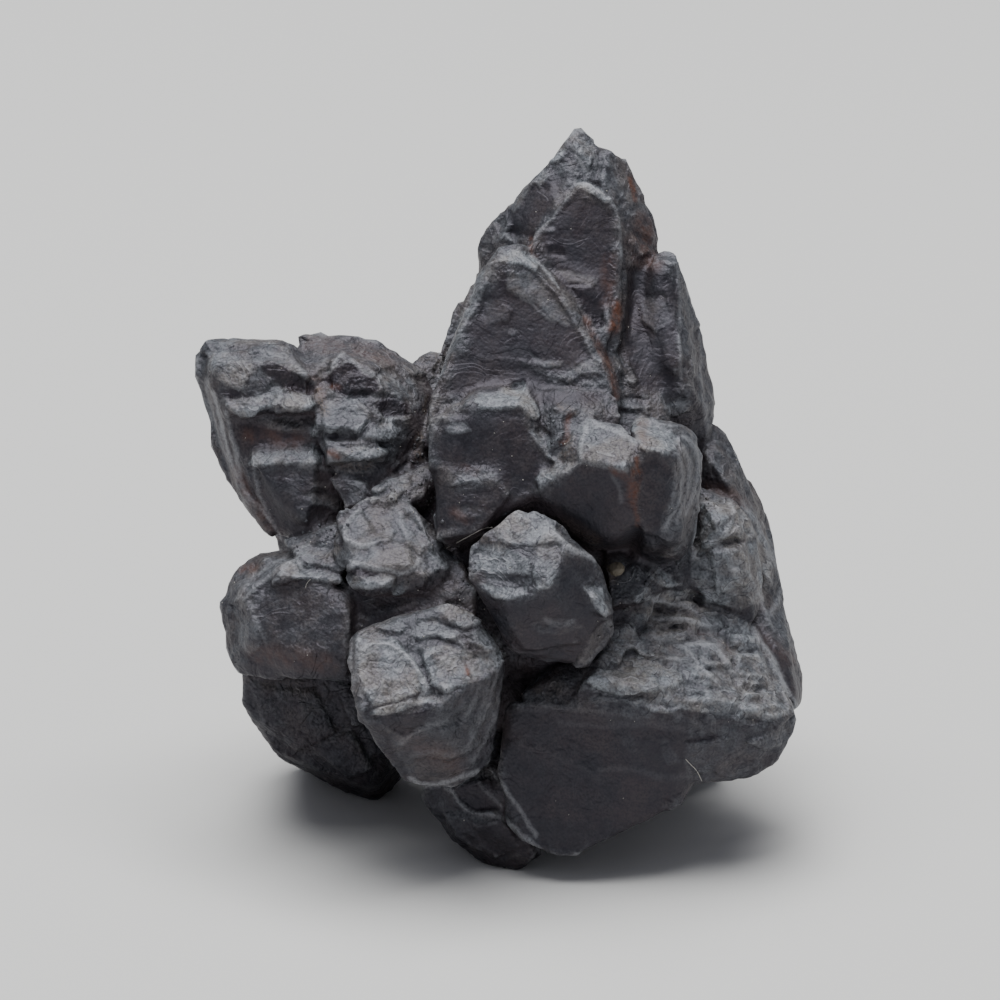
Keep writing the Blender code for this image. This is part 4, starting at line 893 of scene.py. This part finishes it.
def growthRelief(places):
    # growth terraces, lumps, shallow dimples and fine ripples
    layers = np.zeros((4, len(places)))
    bendSize, bendReach = growth["bend"]
    for number, place in enumerate(places):
        point = Vector(place)
        bent = point + noise.noise_vector(point / bendSize) * bendReach
        layers[0, number] = noiseAt(bent, growth["terraces"])
        layers[1, number] = noiseAt(bent, growth["lumps"])
        layers[2, number] = min(noise.voronoi(bent / growth["dimpleSize"])[0][0], 1.0)
        layers[3, number] = noiseAt(point, growth["ripples"])
    rise = terraces(layers[0]) * growth["terraceRise"] + layers[1] * growth["lumpRise"]
    rise += (layers[2] ** 2 - growth["dimpleLevel"]) * growth["dimpleDepth"]
    return rise + layers[3] * growth["rippleRise"]


def upwardOf(normals, level):
    # 1 on what faces up, 0 on what faces down, and about the level on what is upright
    return eased(normals[:, 2] * wild["steepness"] + level)


def wildFacets(places, normals, seen):
    # tilted facets with soft borders where nothing is drawn, and how pale each one is: at random, and
    # painted paler where it faces up, as light from above
    facing = towardsCamera(places, normals)[1]
    rim = eased((-facing - wild["behindRim"]) / wild["rimSpan"]) + (facing > view["grazing"])
    weight = (1 - seen) * rim
    rise = np.zeros(len(places))
    bright = np.zeros(len(places))
    for number in np.nonzero(weight > wild["least"])[0]:
        point = Vector(places[number]) / wild["size"]
        bent = point + noise.noise_vector(point * wild["bendFineness"]) * wild["bendReach"]
        gaps, cells = noise.voronoi(bent)
        draw = noise.cell_vector(cells[0] * wild["cellStep"])
        border = min(1.0, (gaps[1] - gaps[0]) / wild["border"])
        turned = (bent - cells[0]).dot(draw) * wild["turn"] * wild["size"]
        rise[number] = border * (turned + (draw.x - wild["sunk"]) * wild["lift"])
        bright[number] = border * max(0.0, draw.y)
    return rise * weight, bright * weight * upwardOf(normals, wild["paleLevel"]) * wild["paleness"]


def wildSmoothness(normals):
    return wild["smooth"] * (1 - upwardOf(normals, wild["smoothLevel"]))


def wandered(points, places):
    # picture points moved a little, so that drawn lines aren't ruler-straight
    stray = np.zeros_like(points)
    for number, place in enumerate(places):
        for size, reach in strokes["wander"]:
            bend = noise.noise_vector(Vector(place) / size) * reach
            stray[number] += (bend.x, bend.z)
    return points + stray


def drawnItems(table):
    return [item for group in table.values() for item in group.values()]


def carved(points):
    # how far the drawn plates, ridges and dents move each point
    rise = np.zeros(len(points))
    most = strokes["plateMost"]
    for turnedUp, turnedRight, lift, bright, outline in drawnItems(plates):
        near, share = byOutline(points, outline, strokes["plateFade"])
        offset = (points[near] - np.mean(outline, axis=0)) * pixel
        height = lift * mm + turnedUp * offset[:, 1] - turnedRight * offset[:, 0]
        rise[near] += most * np.tanh(height / most) * share
    for width, height, pale, line in drawnItems(ridges):
        near, gap, along = byLine(points, line, width)
        ends = eased(np.minimum(along, 1 - along) * strokes["taper"] + strokes["taperStart"])
        rise[near] += height * mm * ends * eased(1 - gap)
    for radius, depth, middle in [dent for group in dents.values() for dent in group]:
        near = nearTo(points, [middle], radius * mm / pixel)
        gap = np.linalg.norm(points[near] - middle, axis=1) * pixel
        rise[near] -= depth * mm * eased(1 - gap / (radius * mm))
    return rise


def smoothness(points):
    # how much smoother the smooth faces are
    smooth = np.zeros(len(points))
    for amount, outline in smoothFaces.values():
        near, share = byOutline(points, outline, strokes["smoothFade"])
        smooth[near] = np.maximum(smooth[near], amount * share)
    return smooth


def platePaleness(points, paleness):
    # how pale the drawn plates are, and the given paleness beside them: painted light on the pale plates,
    # and painted shade that dims what lies under the sunk plates of paleness 0
    paleness = paleness.copy()
    for turnedUp, turnedRight, lift, bright, outline in drawnItems(plates):
        near, share = byOutline(points, outline, strokes["paleFade"])
        dimmed = paleness[near] * (1 - share)
        paleness[near] = np.maximum(paleness[near], bright * share) if bright > 0 else dimmed
    return paleness


def drawnMask(points, lines):
    # 0 to 1 beside drawn lines of a width in millimetres and a strength
    mask = np.zeros(len(points))
    for width, strength, line in lines:
        near, gap, along = byLine(points, line, width)
        mask[near] = np.maximum(mask[near], strength * eased(strokes["spill"] - gap))
    return mask


def thinned(obj, seen):
    # fewer faces, most of them kept where the stone is seen
    weights = obj.vertex_groups.new(name="freely")
    steps = stone["weightLevels"]
    levels = np.round((1 - seen * (1 - stone["seenWeight"])) * steps) / steps
    for level in np.unique(levels):
        weights.add(np.nonzero(levels == level)[0].tolist(), float(level), "REPLACE")
    thin = obj.modifiers.new("Fewer", "DECIMATE")
    thin.ratio = min(1.0, stone["triangles"] / (2 * len(obj.data.polygons)))
    thin.use_collapse_triangulate = True
    thin.vertex_group = weights.name
    thin.vertex_group_factor = stone["weightPull"]
    applied(obj)
    obj.vertex_groups.clear()


def makeStone():
    obj = stoneBlank()
    mesh = obj.data
    print("stone blank:", len(mesh.vertices), "points")
    edges = edgesOf(mesh)
    places = evened(placesOf(mesh), edges, stone["edgeRounding"])
    setPlaces(mesh, places)
    normals = evened(normalsOf(mesh), edges, stone["evening"])
    normals /= np.linalg.norm(normals, axis=1)[:, None]
    seen = evened(seenFrom(places, normals, facesOf(mesh)), edges, stone["evening"])
    print("seen:", round(seen.mean(), 3))
    points = wandered(pictureOf(places), places)
    smooth = (smoothness(points) * seen + wildSmoothness(normals) * (1 - seen))[:, None]
    places = places * (1 - smooth) + evened(places, edges, stone["melting"]) * smooth
    relief = evened(growthRelief(places), edges, 1)
    facets, facetPaleness = wildFacets(places, normals, seen)
    rise = relief * (1 - smooth[:, 0]) + carved(points) * seen + evened(facets, edges, 1)
    print("relief:", rise.min() / mm, rise.max() / mm)
    low, high = np.array(cadBox)
    high[2] += stone["apexRoom"]
    setPlaces(mesh, np.clip(places + normals * rise[:, None], low, high))
    setMask(mesh, "bright", evened(facetPaleness, edges, 1))
    thinned(obj, seen)
    obj.data.shade_smooth()
    print("stone:", len(obj.data.polygons), "faces")
    return obj


# Wear, dirt and painted light, as masks on the points of the stone.
wear = {
    "curves": (("edge", 1), ("lump", 12)),  # masks, and how many rounds of evening out each looks across
    "softness": 3.0,
    "unseenEdge": 0.45,  # the unseen side is coarser, so its edges would stand out more
    "rays": 14,
    "raySeed": 4,
    "rayLengths": (0.1, 1),
    "rayStart": 0.12 * mm,
    "rayReach": 7 * mm,
}


def scatteredRays():
    rng = random.Random(wear["raySeed"])
    shortest, longest = wear["rayLengths"]
    rays = []
    while len(rays) < wear["rays"]:
        ray = Vector([rng.uniform(-1, 1) for _ in range(3)])
        if shortest < ray.length < longest:
            rays.append(ray.normalized())
    return rays


def hiddenness(tree, places, normals):
    # how much of what a point faces is the stone itself, close by
    rays = scatteredRays()
    reach = wear["rayReach"]
    hidden = np.zeros(len(places))
    for number, (place, normal) in enumerate(zip(places, normals)):
        up = Vector(normal)
        start = Vector(place) + up * wear["rayStart"]
        total = 0.0
        for ray in rays:
            facing = ray.dot(up)
            distance = tree.ray_cast(start, ray if facing > 0 else -ray, reach)[3]
            total += abs(facing)
            if distance is not None:
                hidden[number] += abs(facing) * (1 - distance / reach)
        hidden[number] /= max(total, 0.001)
    return hidden


def wearDirtAndPaintedLight(obj):
    mesh = obj.data
    places, normals, edges, faces = placesOf(mesh), normalsOf(mesh), edgesOf(mesh), facesOf(mesh)
    masks = {}
    for name, rounds in wear["curves"]:
        out = dotted(places - evened(places, edges, rounds), normals)
        masks[name] = out / (np.abs(out).mean() * wear["softness"])
    masks["edge"] = evened(masks["edge"], edges, 1)
    tree = BVHTree.FromPolygons(places.tolist(), faces)
    masks["hidden"] = evened(hiddenness(tree, places, normals), edges, stone["evening"])
    points = wandered(pictureOf(places), places)
    seen = seenFrom(places, normals, faces)
    masks["edge"] *= wear["unseenEdge"] + (1 - wear["unseenEdge"]) * evened(seen, edges, stone["evening"])
    print("seen points:", int(seen.sum()), "of", len(seen))
    crests = [(width, pale, line) for width, height, pale, line in drawnItems(ridges)]
    masks["pale"] = seen * drawnMask(points, crests)
    masks["rust"] = seen * drawnMask(points, rustLines.values())
    masks["tan"] = seen * drawnMask(points, tanLines.values())
    masks["smooth"] = evened(np.where(seen > 0, smoothness(points), wildSmoothness(normals)), edges, 1)
    facets = rowsOf(mesh.attributes["bright"].data, "value", 1)[:, 0]
    mesh.attributes.remove(mesh.attributes["bright"])
    # painted light from above: what faces up is paler, and on the seen side the drawn plates set it
    bare = wild["bareTopLight"] * upwardOf(normals, wild["paleLevel"]) * (1 - masks["smooth"])
    unseen = facets + wild["crustAndTopLight"] * upwardOf(normals, wild["topLightLevel"])
    masks["bright"] = np.where(seen > 0, platePaleness(points, bare), unseen)
    for name, values in masks.items():
        setMask(mesh, name, np.clip(values, -1.0, 1.0))
        print("mask", name, round(values.min(), 3), round(values.mean(), 3), round(values.max(), 3))
    return tree


# What has caught on the stone. Points are pixels of the picture again, and sizes are in millimetres.
fibres = {
    "paleLint": (0.030, [(440, 553), (452, 545), (462, 539), (474, 533), (486, 526), (496, 528)]),
    "curl": (0.022, [(305, 590), (306, 585), (308, 581), (312, 578)]),
    "tanLint": (0.028, [(683, 756), (690, 764), (697, 770), (701, 779), (705, 787)]),
}
fibreLift = 1.4  # radii from the stone to a fibre's middle
fibreMergeGap = 0.0005 * mm
grainShape = {
    "stretch": (0.7, 1.2),
    "roughness": (0.82, 1.15),
}
specks = {
    "radius": (0.022, 0.060),
    "drawnLeast": 0.75,  # how small a drawn speck may be, next to the largest
    "drawn": [(523, 480), (484, 609), (618, 584), (500, 470), (536, 212), (571, 229), (620, 603),
        (565, 444), (694, 596), (362, 626), (510, 568), (723, 643), (590, 413), (736, 460), (302, 509),
        (336, 474), (428, 505), (432, 545), (378, 449), (352, 452), (460, 600), (548, 300), (668, 230),
        (418, 590)],
    "scattered": 120,
    "facingDown": -0.3,  # no dust where the stone faces further down, or lies lower than this
    "lowest": 1 * mm,
    "out": 0.4,  # radii that a speck stands out
    "seed": 12,
}
crumbs = {
    "radius": (0.09, 0.24),
    "paleness": 0.4,
    "spread": 5.0,  # pixels to each side of a line
    "perPixel": 0.34,
    "out": -0.25,
    "seed": 5,
    "lines": {
        "underCentre": [(628, 572), (640, 582), (656, 574), (672, 566), (686, 556)],
        "besideKnob": [(706, 500), (698, 522), (692, 545), (686, 562)],
        "aboveBroad": [(602, 646), (616, 632), (628, 616), (638, 602)],
        "leftOfFoot": [(416, 436), (421, 460), (428, 496), (438, 520)],
        "overKnob": [(345, 522), (330, 528), (308, 536), (292, 542)],
        "underArm": [(390, 498), (408, 494), (420, 500)],
        "betweenBlocks": [(452, 552), (466, 560), (470, 580), (462, 602)],
        "leftOfCentre": [(556, 412), (550, 428), (556, 446)],
    },
}


def thread(name, settings, tree):
    # a closed round thread that lies on the stone along a drawn line
    radius, line = settings
    route = []
    for across, down in rounded(line):
        place, normal = surfaceAt(tree, across, down)
        if place is not None:
            route.append(place + normal * radius * fibreLift * mm)
    curve = bpy.data.curves.new(name, "CURVE")
    curve.dimensions = "3D"
    curve.bevel_depth = radius * mm
    curve.bevel_resolution = 1
    curve.use_fill_caps = True
    spline = curve.splines.new("POLY")
    spline.points.add(len(route) - 1)
    numbers = np.arange(len(route))
    middle = evened(np.array(route), np.stack((numbers[:-1], numbers[1:]), 1), 2)
    for point, place in zip(spline.points, middle):
        point.co = (*place, 1)
    obj = added(name, curve)
    made = bmesh.new()
    made.from_mesh(evaluatedMesh(obj))
    bpy.data.objects.remove(obj)
    bmesh.ops.remove_doubles(made, verts=made.verts, dist=fibreMergeGap)
    bmesh.ops.recalc_face_normals(made, faces=made.faces)
    return made


def addGrain(made, place, normal, radius, out, rng):
    # a small rough lump, a little flatter one way, that stands out so many radii or is sunk
    grown = bmesh.ops.create_icosphere(made, subdivisions=1, radius=radius)["verts"]
    bmesh.ops.scale(made, verts=grown, vec=[rng.uniform(*grainShape["stretch"]) for _ in range(3)])
    for vert in grown:
        vert.co *= rng.uniform(*grainShape["roughness"])
    turn = Vector([rng.uniform(-1, 1) for _ in range(3)]).to_track_quat("Z", "Y").to_matrix()
    bmesh.ops.rotate(made, verts=grown, matrix=turn)
    bmesh.ops.translate(made, verts=grown, vec=place + normal * radius * out)


def makeSpecks(points, tree):
    # pale dust: the specks that the picture shows, and as fine a scatter on the rest
    rng = random.Random(specks["seed"])
    made = bmesh.new()
    low, high = specks["radius"]
    for across, down in specks["drawn"]:
        place, normal = surfaceAt(tree, across, down)
        if place is not None:
            radius = rng.uniform(specks["drawnLeast"] * high, high) * mm
            addGrain(made, place, normal, radius, specks["out"], rng)
    for _ in range(specks["scattered"]):
        point = points[rng.randrange(len(points))]
        radius = rng.triangular(low, high, low) * mm
        if point.normal.z > specks["facingDown"] and point.co.z > specks["lowest"]:
            addGrain(made, point.co, point.normal, radius, specks["out"], rng)
    return made


def makeCrumbs(tree):
    # coarse crumbs of the same mineral, lying in the gaps between the crystals
    rng = random.Random(crumbs["seed"])
    made = bmesh.new()
    low, high = crumbs["radius"]
    spread = crumbs["spread"]
    for line in crumbs["lines"].values():
        corners = rounded(line)
        for start, end in zip(corners[:-1], corners[1:]):
            for _ in range(max(1, round(np.linalg.norm(end - start) * crumbs["perPixel"]))):
                spot = start + (end - start) * rng.random()
                across = spot[0] + rng.gauss(0, spread)
                down = spot[1] + rng.gauss(0, spread)
                place, normal = surfaceAt(tree, across, down)
                radius = rng.triangular(low, high, low) * mm
                if place is not None:
                    addGrain(made, place, normal, radius, crumbs["out"], rng)
    return made


def pieceOf(name, made, material, smoothShaded):
    mesh = meshFrom(name, made)
    if smoothShaded:
        mesh.shade_smooth()
    obj = added(name, mesh)
    mesh.materials.append(material)
    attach(obj, "root")
    print(name, len(mesh.polygons), "faces")
    return obj


# Materials.
def fed(tree, made, inputs):
    # inputs set to constants, or linked to the outputs of other nodes
    for name, value in inputs.items():
        if isinstance(value, bpy.types.NodeSocket):
            tree.links.new(value, made.inputs[name])
        else:
            made.inputs[name].default_value = value
    return made


def node(tree, kind, inputs, **settings):
    made = tree.nodes.new(kind)
    for name, value in settings.items():
        setattr(made, name, value)
    return fed(tree, made, inputs)


def maths(tree, operation, *values, clamped=True):
    inputs = dict(enumerate(values))
    return node(tree, "ShaderNodeMath", inputs, operation=operation, use_clamp=clamped).outputs["Value"]


def ranged(tree, value, low, high, start=0.0, end=1.0):
    inputs = {"Value": value, "From Min": low, "From Max": high, "To Min": start, "To Max": end}
    return node(tree, "ShaderNodeMapRange", inputs).outputs["Result"]


def painted(tree, under, over, factor):
    inputs = {"Factor": factor, "A": under, "B": over}
    return node(tree, "ShaderNodeMix", inputs, data_type="RGBA").outputs["Result"]


def placeIn(tree):
    return node(tree, "ShaderNodeTexCoord", {}).outputs["Object"]


def bumped(tree, height, distance, strength=1.0):
    inputs = {"Height": height, "Distance": distance, "Strength": strength}
    return node(tree, "ShaderNodeBump", inputs).outputs["Normal"]


def principled(name):
    material = bpy.data.materials.new(name)
    material.use_nodes = True
    return material, material.node_tree, material.node_tree.nodes["Principled BSDF"]


def mineralGrain():
    # rounded grains with a finer grit on them, for every mineral surface here: a mask and a height
    group = bpy.data.node_groups.new("mineralGrain", "ShaderNodeTree")
    sockets = {"Grain Scale": "INPUT", "Grit Scale": "INPUT", "Mask": "OUTPUT", "Height": "OUTPUT"}
    for name, way in sockets.items():
        group.interface.new_socket(name, in_out=way, socket_type="NodeSocketFloat")
    scales = node(group, "NodeGroupInput", {}).outputs
    where = placeIn(group)
    grains = node(group, "ShaderNodeTexVoronoi", {"Vector": where, "Scale": scales["Grain Scale"],
        "Smoothness": 0.35}, feature="SMOOTH_F1").outputs["Distance"]
    grit = node(group, "ShaderNodeTexNoise", {"Vector": where, "Scale": scales["Grit Scale"],
        "Detail": 3.0, "Roughness": 0.55}).outputs["Fac"]
    faint = maths(group, "MULTIPLY", grit, 0.35, clamped=False)
    # grains stand up at their middles
    height = maths(group, "MULTIPLY_ADD", grains, -0.5, faint, clamped=False)
    node(group, "NodeGroupOutput", {"Mask": grit, "Height": height})
    return group


# Colours, and the bands that patterns are cut from: from where to where a value counts, and what it becomes.
finish = {
    "dark": (0.0050, 0.0054, 0.0082, 1),
    "lighter": (0.0260, 0.0195, 0.0215, 1),
    # the pale crust, which is also the painted light on what faces the lamp, and painted sheen on flanks
    "crustAndTopLight": (0.243, 0.264, 0.284, 1),
    "warmCrustAndTopLight": (0.250, 0.240, 0.226, 1),
    # worn edges and growth-line rims, which also stand for painted highlights
    "worn": (0.36, 0.37, 0.39, 1),
    "rust": (0.095, 0.036, 0.018, 1),
    # sheltered crevices: dust, and painted fill light that lifts their shade
    "crevicesDustAndFillLight": (0.070, 0.056, 0.060, 1),
    "tan": (0.115, 0.085, 0.062, 1),
    "grainScale": 3600.0,
    "gritScale": 6000.0,
    "cloud": {"Scale": 320.0, "Detail": 5.0, "Roughness": 0.65},
    "patch": {"Scale": 1100.0, "Detail": 4.0, "Roughness": 0.6},
    "swirl": {"Scale": 430.0, "Detail": 2.0, "Roughness": 0.45, "Distortion": 0.5},
    "lineCount": 8.0,
    "lineStep": 0.45,  # how high a growth line stands, next to the depth of the grain
    "grainDepth": 0.11 * mm,
    "ior": 1.45,
    "glossTint": (0.90, 0.85, 1.0, 1),
    "cutShare": 0.7,
    "paleShare": 0.55,
}
bands = {
    "linePale": (0.55, 0.97),
    "lineCut": (0.0, 0.22, 1.0, 0.0),
    "lineRiser": (0.75, 1.0),
    "lineBreaks": (0.40, 0.56),
    "lineOnPale": (0.1, 0.8, 0.0, 0.40),
    "mottle": (0.35, 0.62),
    "mottleGrain": (0.36, 0.6, 0.4),
    "flakes": (0.0, 0.8, 0.10, 0.04),
    "flakePatch": (0.38, 0.62),
    "palePatch": (0.34, 0.56, 0.58),
    # where the pale crust and its painted light show: less in hollows, broken by grain
    "crustLightLump": (-0.8, 0.4, 0.5),
    "crustLightGrain": (0.38, 0.56, 0.50),
    "warmPatch": (0.46, 0.6),
    "coarse": (0.0, 0.8, 1.0, 0.15),
    "hollowEdge": (-0.2, -1.0, 0.0, 0.8),
    "hiddenFrom": (0.25, 0.65),
    "hiddenCloud": (0.35, 0.6, 0.5),
    "hiddenPale": (0.0, 0.5, 1.0, 0.0),
    "wornEdge": (0.2, 1.0, 0.0, 0.55),
    "wornPatch": (0.3, 0.6),
    "wornGrain": (0.3, 0.5, 0.35),
    "rustPatch": (0.38, 0.58, 0.15),
    "tanGrain": (0.35, 0.62),
    "roughness": (0.3, 0.7, 0.42, 0.56),
    "relief": (0.0, 0.9, 1.0, 0.35),
}


def stoneMaterial(grainGroup):
    material, tree, shader = principled("goethite")
    where = placeIn(tree)
    scales = {"Grain Scale": finish["grainScale"], "Grit Scale": finish["gritScale"]}
    grains = node(tree, "ShaderNodeGroup", scales, node_tree=grainGroup).outputs
    grain = grains["Mask"]
    cloud, patch, swirl = [
        node(tree, "ShaderNodeTexNoise", {"Vector": where, **finish[name]}).outputs["Fac"]
        for name in ("cloud", "patch", "swirl")]
    edge, lump, hidden, pale, rust, tan, smooth, bright = [
        node(tree, "ShaderNodeAttribute", {}, attribute_name=name).outputs["Fac"]
        for name in ("edge", "lump", "hidden", "pale", "rust", "tan", "smooth", "bright")]

    def band(value, name):
        return ranged(tree, value, *bands[name])

    def times(first, second):
        return maths(tree, "MULTIPLY", first, second)

    def plus(first, second):
        return maths(tree, "ADD", first, second)

    steps = maths(tree, "MULTIPLY", swirl, finish["lineCount"], clamped=False)
    tread = maths(tree, "FRACT", steps)
    # pale rims along the growth lines, as painted highlights, and after each a painted shadow line
    raised = times(band(tread, "linePale"), band(patch, "lineBreaks"))
    cut = times(band(tread, "lineCut"), band(patch, "lineBreaks"))
    coarse = band(smooth, "coarse")

    # the pale crust: flakes at random, and painted light where the bright mask says, on tops and as sheen on
    # flanks
    crustAndLightShare = times(band(smooth, "flakes"), band(patch, "flakePatch"))
    crustAndLightShare = plus(crustAndLightShare, times(bright, band(patch, "palePatch")))
    crustAndLightShare = times(crustAndLightShare, times(band(lump, "crustLightLump"), band(grain, "crustLightGrain")))
    lined = times(raised, times(coarse, band(bright, "lineOnPale")))
    # painted shade in hollows and in the shadow lines after the growth lines
    grooveShade = times(plus(times(cut, finish["cutShare"]), band(edge, "hollowEdge")), coarse)
    # paler in crevices that the stone hides: dust, and painted fill light in their shade
    crevicesDustAndFillLight = times(band(hidden, "hiddenFrom"), band(cloud, "hiddenCloud"))
    # paler edges: wear, and painted highlights on them
    worn = times(band(edge, "wornEdge"), band(patch, "wornPatch"))
    worn = plus(worn, times(pale, finish["paleShare"]))

    mottled = times(band(cloud, "mottle"), band(grain, "mottleGrain"))
    colour = painted(tree, finish["dark"], finish["lighter"], mottled)
    crustAndTopLight = painted(tree, finish["crustAndTopLight"], finish["warmCrustAndTopLight"], band(cloud, "warmPatch"))
    layers = (
        (crustAndTopLight, crustAndLightShare),
        (finish["worn"], lined),
        (finish["dark"], grooveShade),
        (finish["crevicesDustAndFillLight"], times(crevicesDustAndFillLight, band(bright, "hiddenPale"))),
        (finish["worn"], times(worn, band(grain, "wornGrain"))),
        (finish["rust"], times(rust, band(patch, "rustPatch"))),
        (finish["tan"], times(tan, band(grain, "tanGrain"))),
    )
    for over, factor in layers:
        colour = painted(tree, colour, over, factor)

    # shallow swells with the grains on them, and a step up at each growth line
    swell = maths(tree, "ADD", patch, grains["Height"], clamped=False)
    stepped = maths(tree, "FLOOR", steps, clamped=False)
    riser = maths(tree, "ADD", stepped, band(tread, "lineRiser"), clamped=False)
    height = maths(tree, "MULTIPLY_ADD", riser, finish["lineStep"], swell, clamped=False)
    height = maths(tree, "MULTIPLY", height, band(smooth, "relief"), clamped=False)
    fed(tree, shader, {
        "Base Color": colour,
        "Roughness": band(patch, "roughness"),
        "Normal": bumped(tree, height, finish["grainDepth"]),
        "IOR": finish["ior"],
        "Specular Tint": finish["glossTint"],
    })
    return material


# Sand, dust and lint: a plain speckled finish between two colours.
loose = {
    "sand": ((0.10, 0.085, 0.065, 1), (0.22, 0.19, 0.14, 1)),
    "dust": ((0.30, 0.28, 0.25, 1), (0.55, 0.53, 0.49, 1)),
    "scales": {"Grain Scale": 3000.0, "Grit Scale": 7000.0},
    "grainDepth": 0.03 * mm,
    "bump": 0.4,
    "roughness": 0.65,
}


def looseMaterial(name, grainGroup):
    material, tree, shader = principled(name)
    grains = node(tree, "ShaderNodeGroup", loose["scales"], node_tree=grainGroup).outputs
    fed(tree, shader, {
        "Base Color": painted(tree, *loose[name], grains["Mask"]),
        "Roughness": loose["roughness"],
        "Normal": bumped(tree, grains["Height"], loose["grainDepth"], loose["bump"]),
    })
    return material


# The studio.
studio = {
    "floorSize": 2.4,
    "floorColour": (0.72, 0.72, 0.70, 1),
    "floorRoughness": 0.9,
    "topLight": {"radiance": 7.05, "size": 0.70, "place": (-0.04, 0.05, 0.80)},
    "air": (0.23, 0.235, 0.265, 1),
}


def makeStudio():
    made = bmesh.new()
    bmesh.ops.create_grid(made, x_segments=2, y_segments=2, size=studio["floorSize"] / 2)
    floor = added("floor", meshFrom("floor", made))
    material, tree, shader = principled("floor")
    fed(tree, shader, {"Base Color": studio["floorColour"], "Roughness": studio["floorRoughness"]})
    floor.data.materials.append(material)

    settings = studio["topLight"]
    light = bpy.data.lights.new("topLight", "AREA")
    light.energy = settings["radiance"] * math.pi * settings["size"] ** 2
    light.size = settings["size"]
    lamp = added("topLight", light)
    lamp.location = settings["place"]
    lamp.rotation_euler = (view["aim"] - lamp.location).to_track_quat("-Z", "Y").to_euler()

    world = bpy.data.worlds.new("air")
    world.use_nodes = True
    fed(world.node_tree, world.node_tree.nodes["Background"], {"Color": studio["air"], "Strength": 1.0})
    bpy.context.scene.world = world


def makeCamera():
    camera = added("camera", bpy.data.cameras.new("camera"))
    camera.data.sensor_width = view["sensor"]
    camera.data.lens = view["sensor"] * view["distance"] / view["width"]
    camera.data.clip_start = view["nearest"]
    camera.location = cameraPlace
    camera.rotation_euler = (-viewBack).to_track_quat("-Z", "Y").to_euler()
    bpy.context.scene.camera = camera


makeStudio()
makeCamera()
skin = makeStone()
stoneTree = wearDirtAndPaintedLight(skin)
grainGroup = mineralGrain()
mineral = stoneMaterial(grainGroup)
skin.data.materials.clear()
skin.data.materials.append(mineral)
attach(skin, "root")
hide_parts("goethite_cluster")
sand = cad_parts["sand_grain"]
sand.data.materials.clear()
sand.data.materials.append(looseMaterial("sand", grainGroup))
print("stone dressed")

dust = looseMaterial("dust", grainGroup)
for fibreName, fibre in fibres.items():
    pieceOf(fibreName, thread(fibreName, fibre, stoneTree), dust, True)
pieceOf("dust_specks", makeSpecks(skin.data.vertices, stoneTree), dust, False)
gravel = pieceOf("crevice_crumbs", makeCrumbs(stoneTree), mineral, False).data
setMask(gravel, "bright", [crumbs["paleness"]] * len(gravel.vertices))
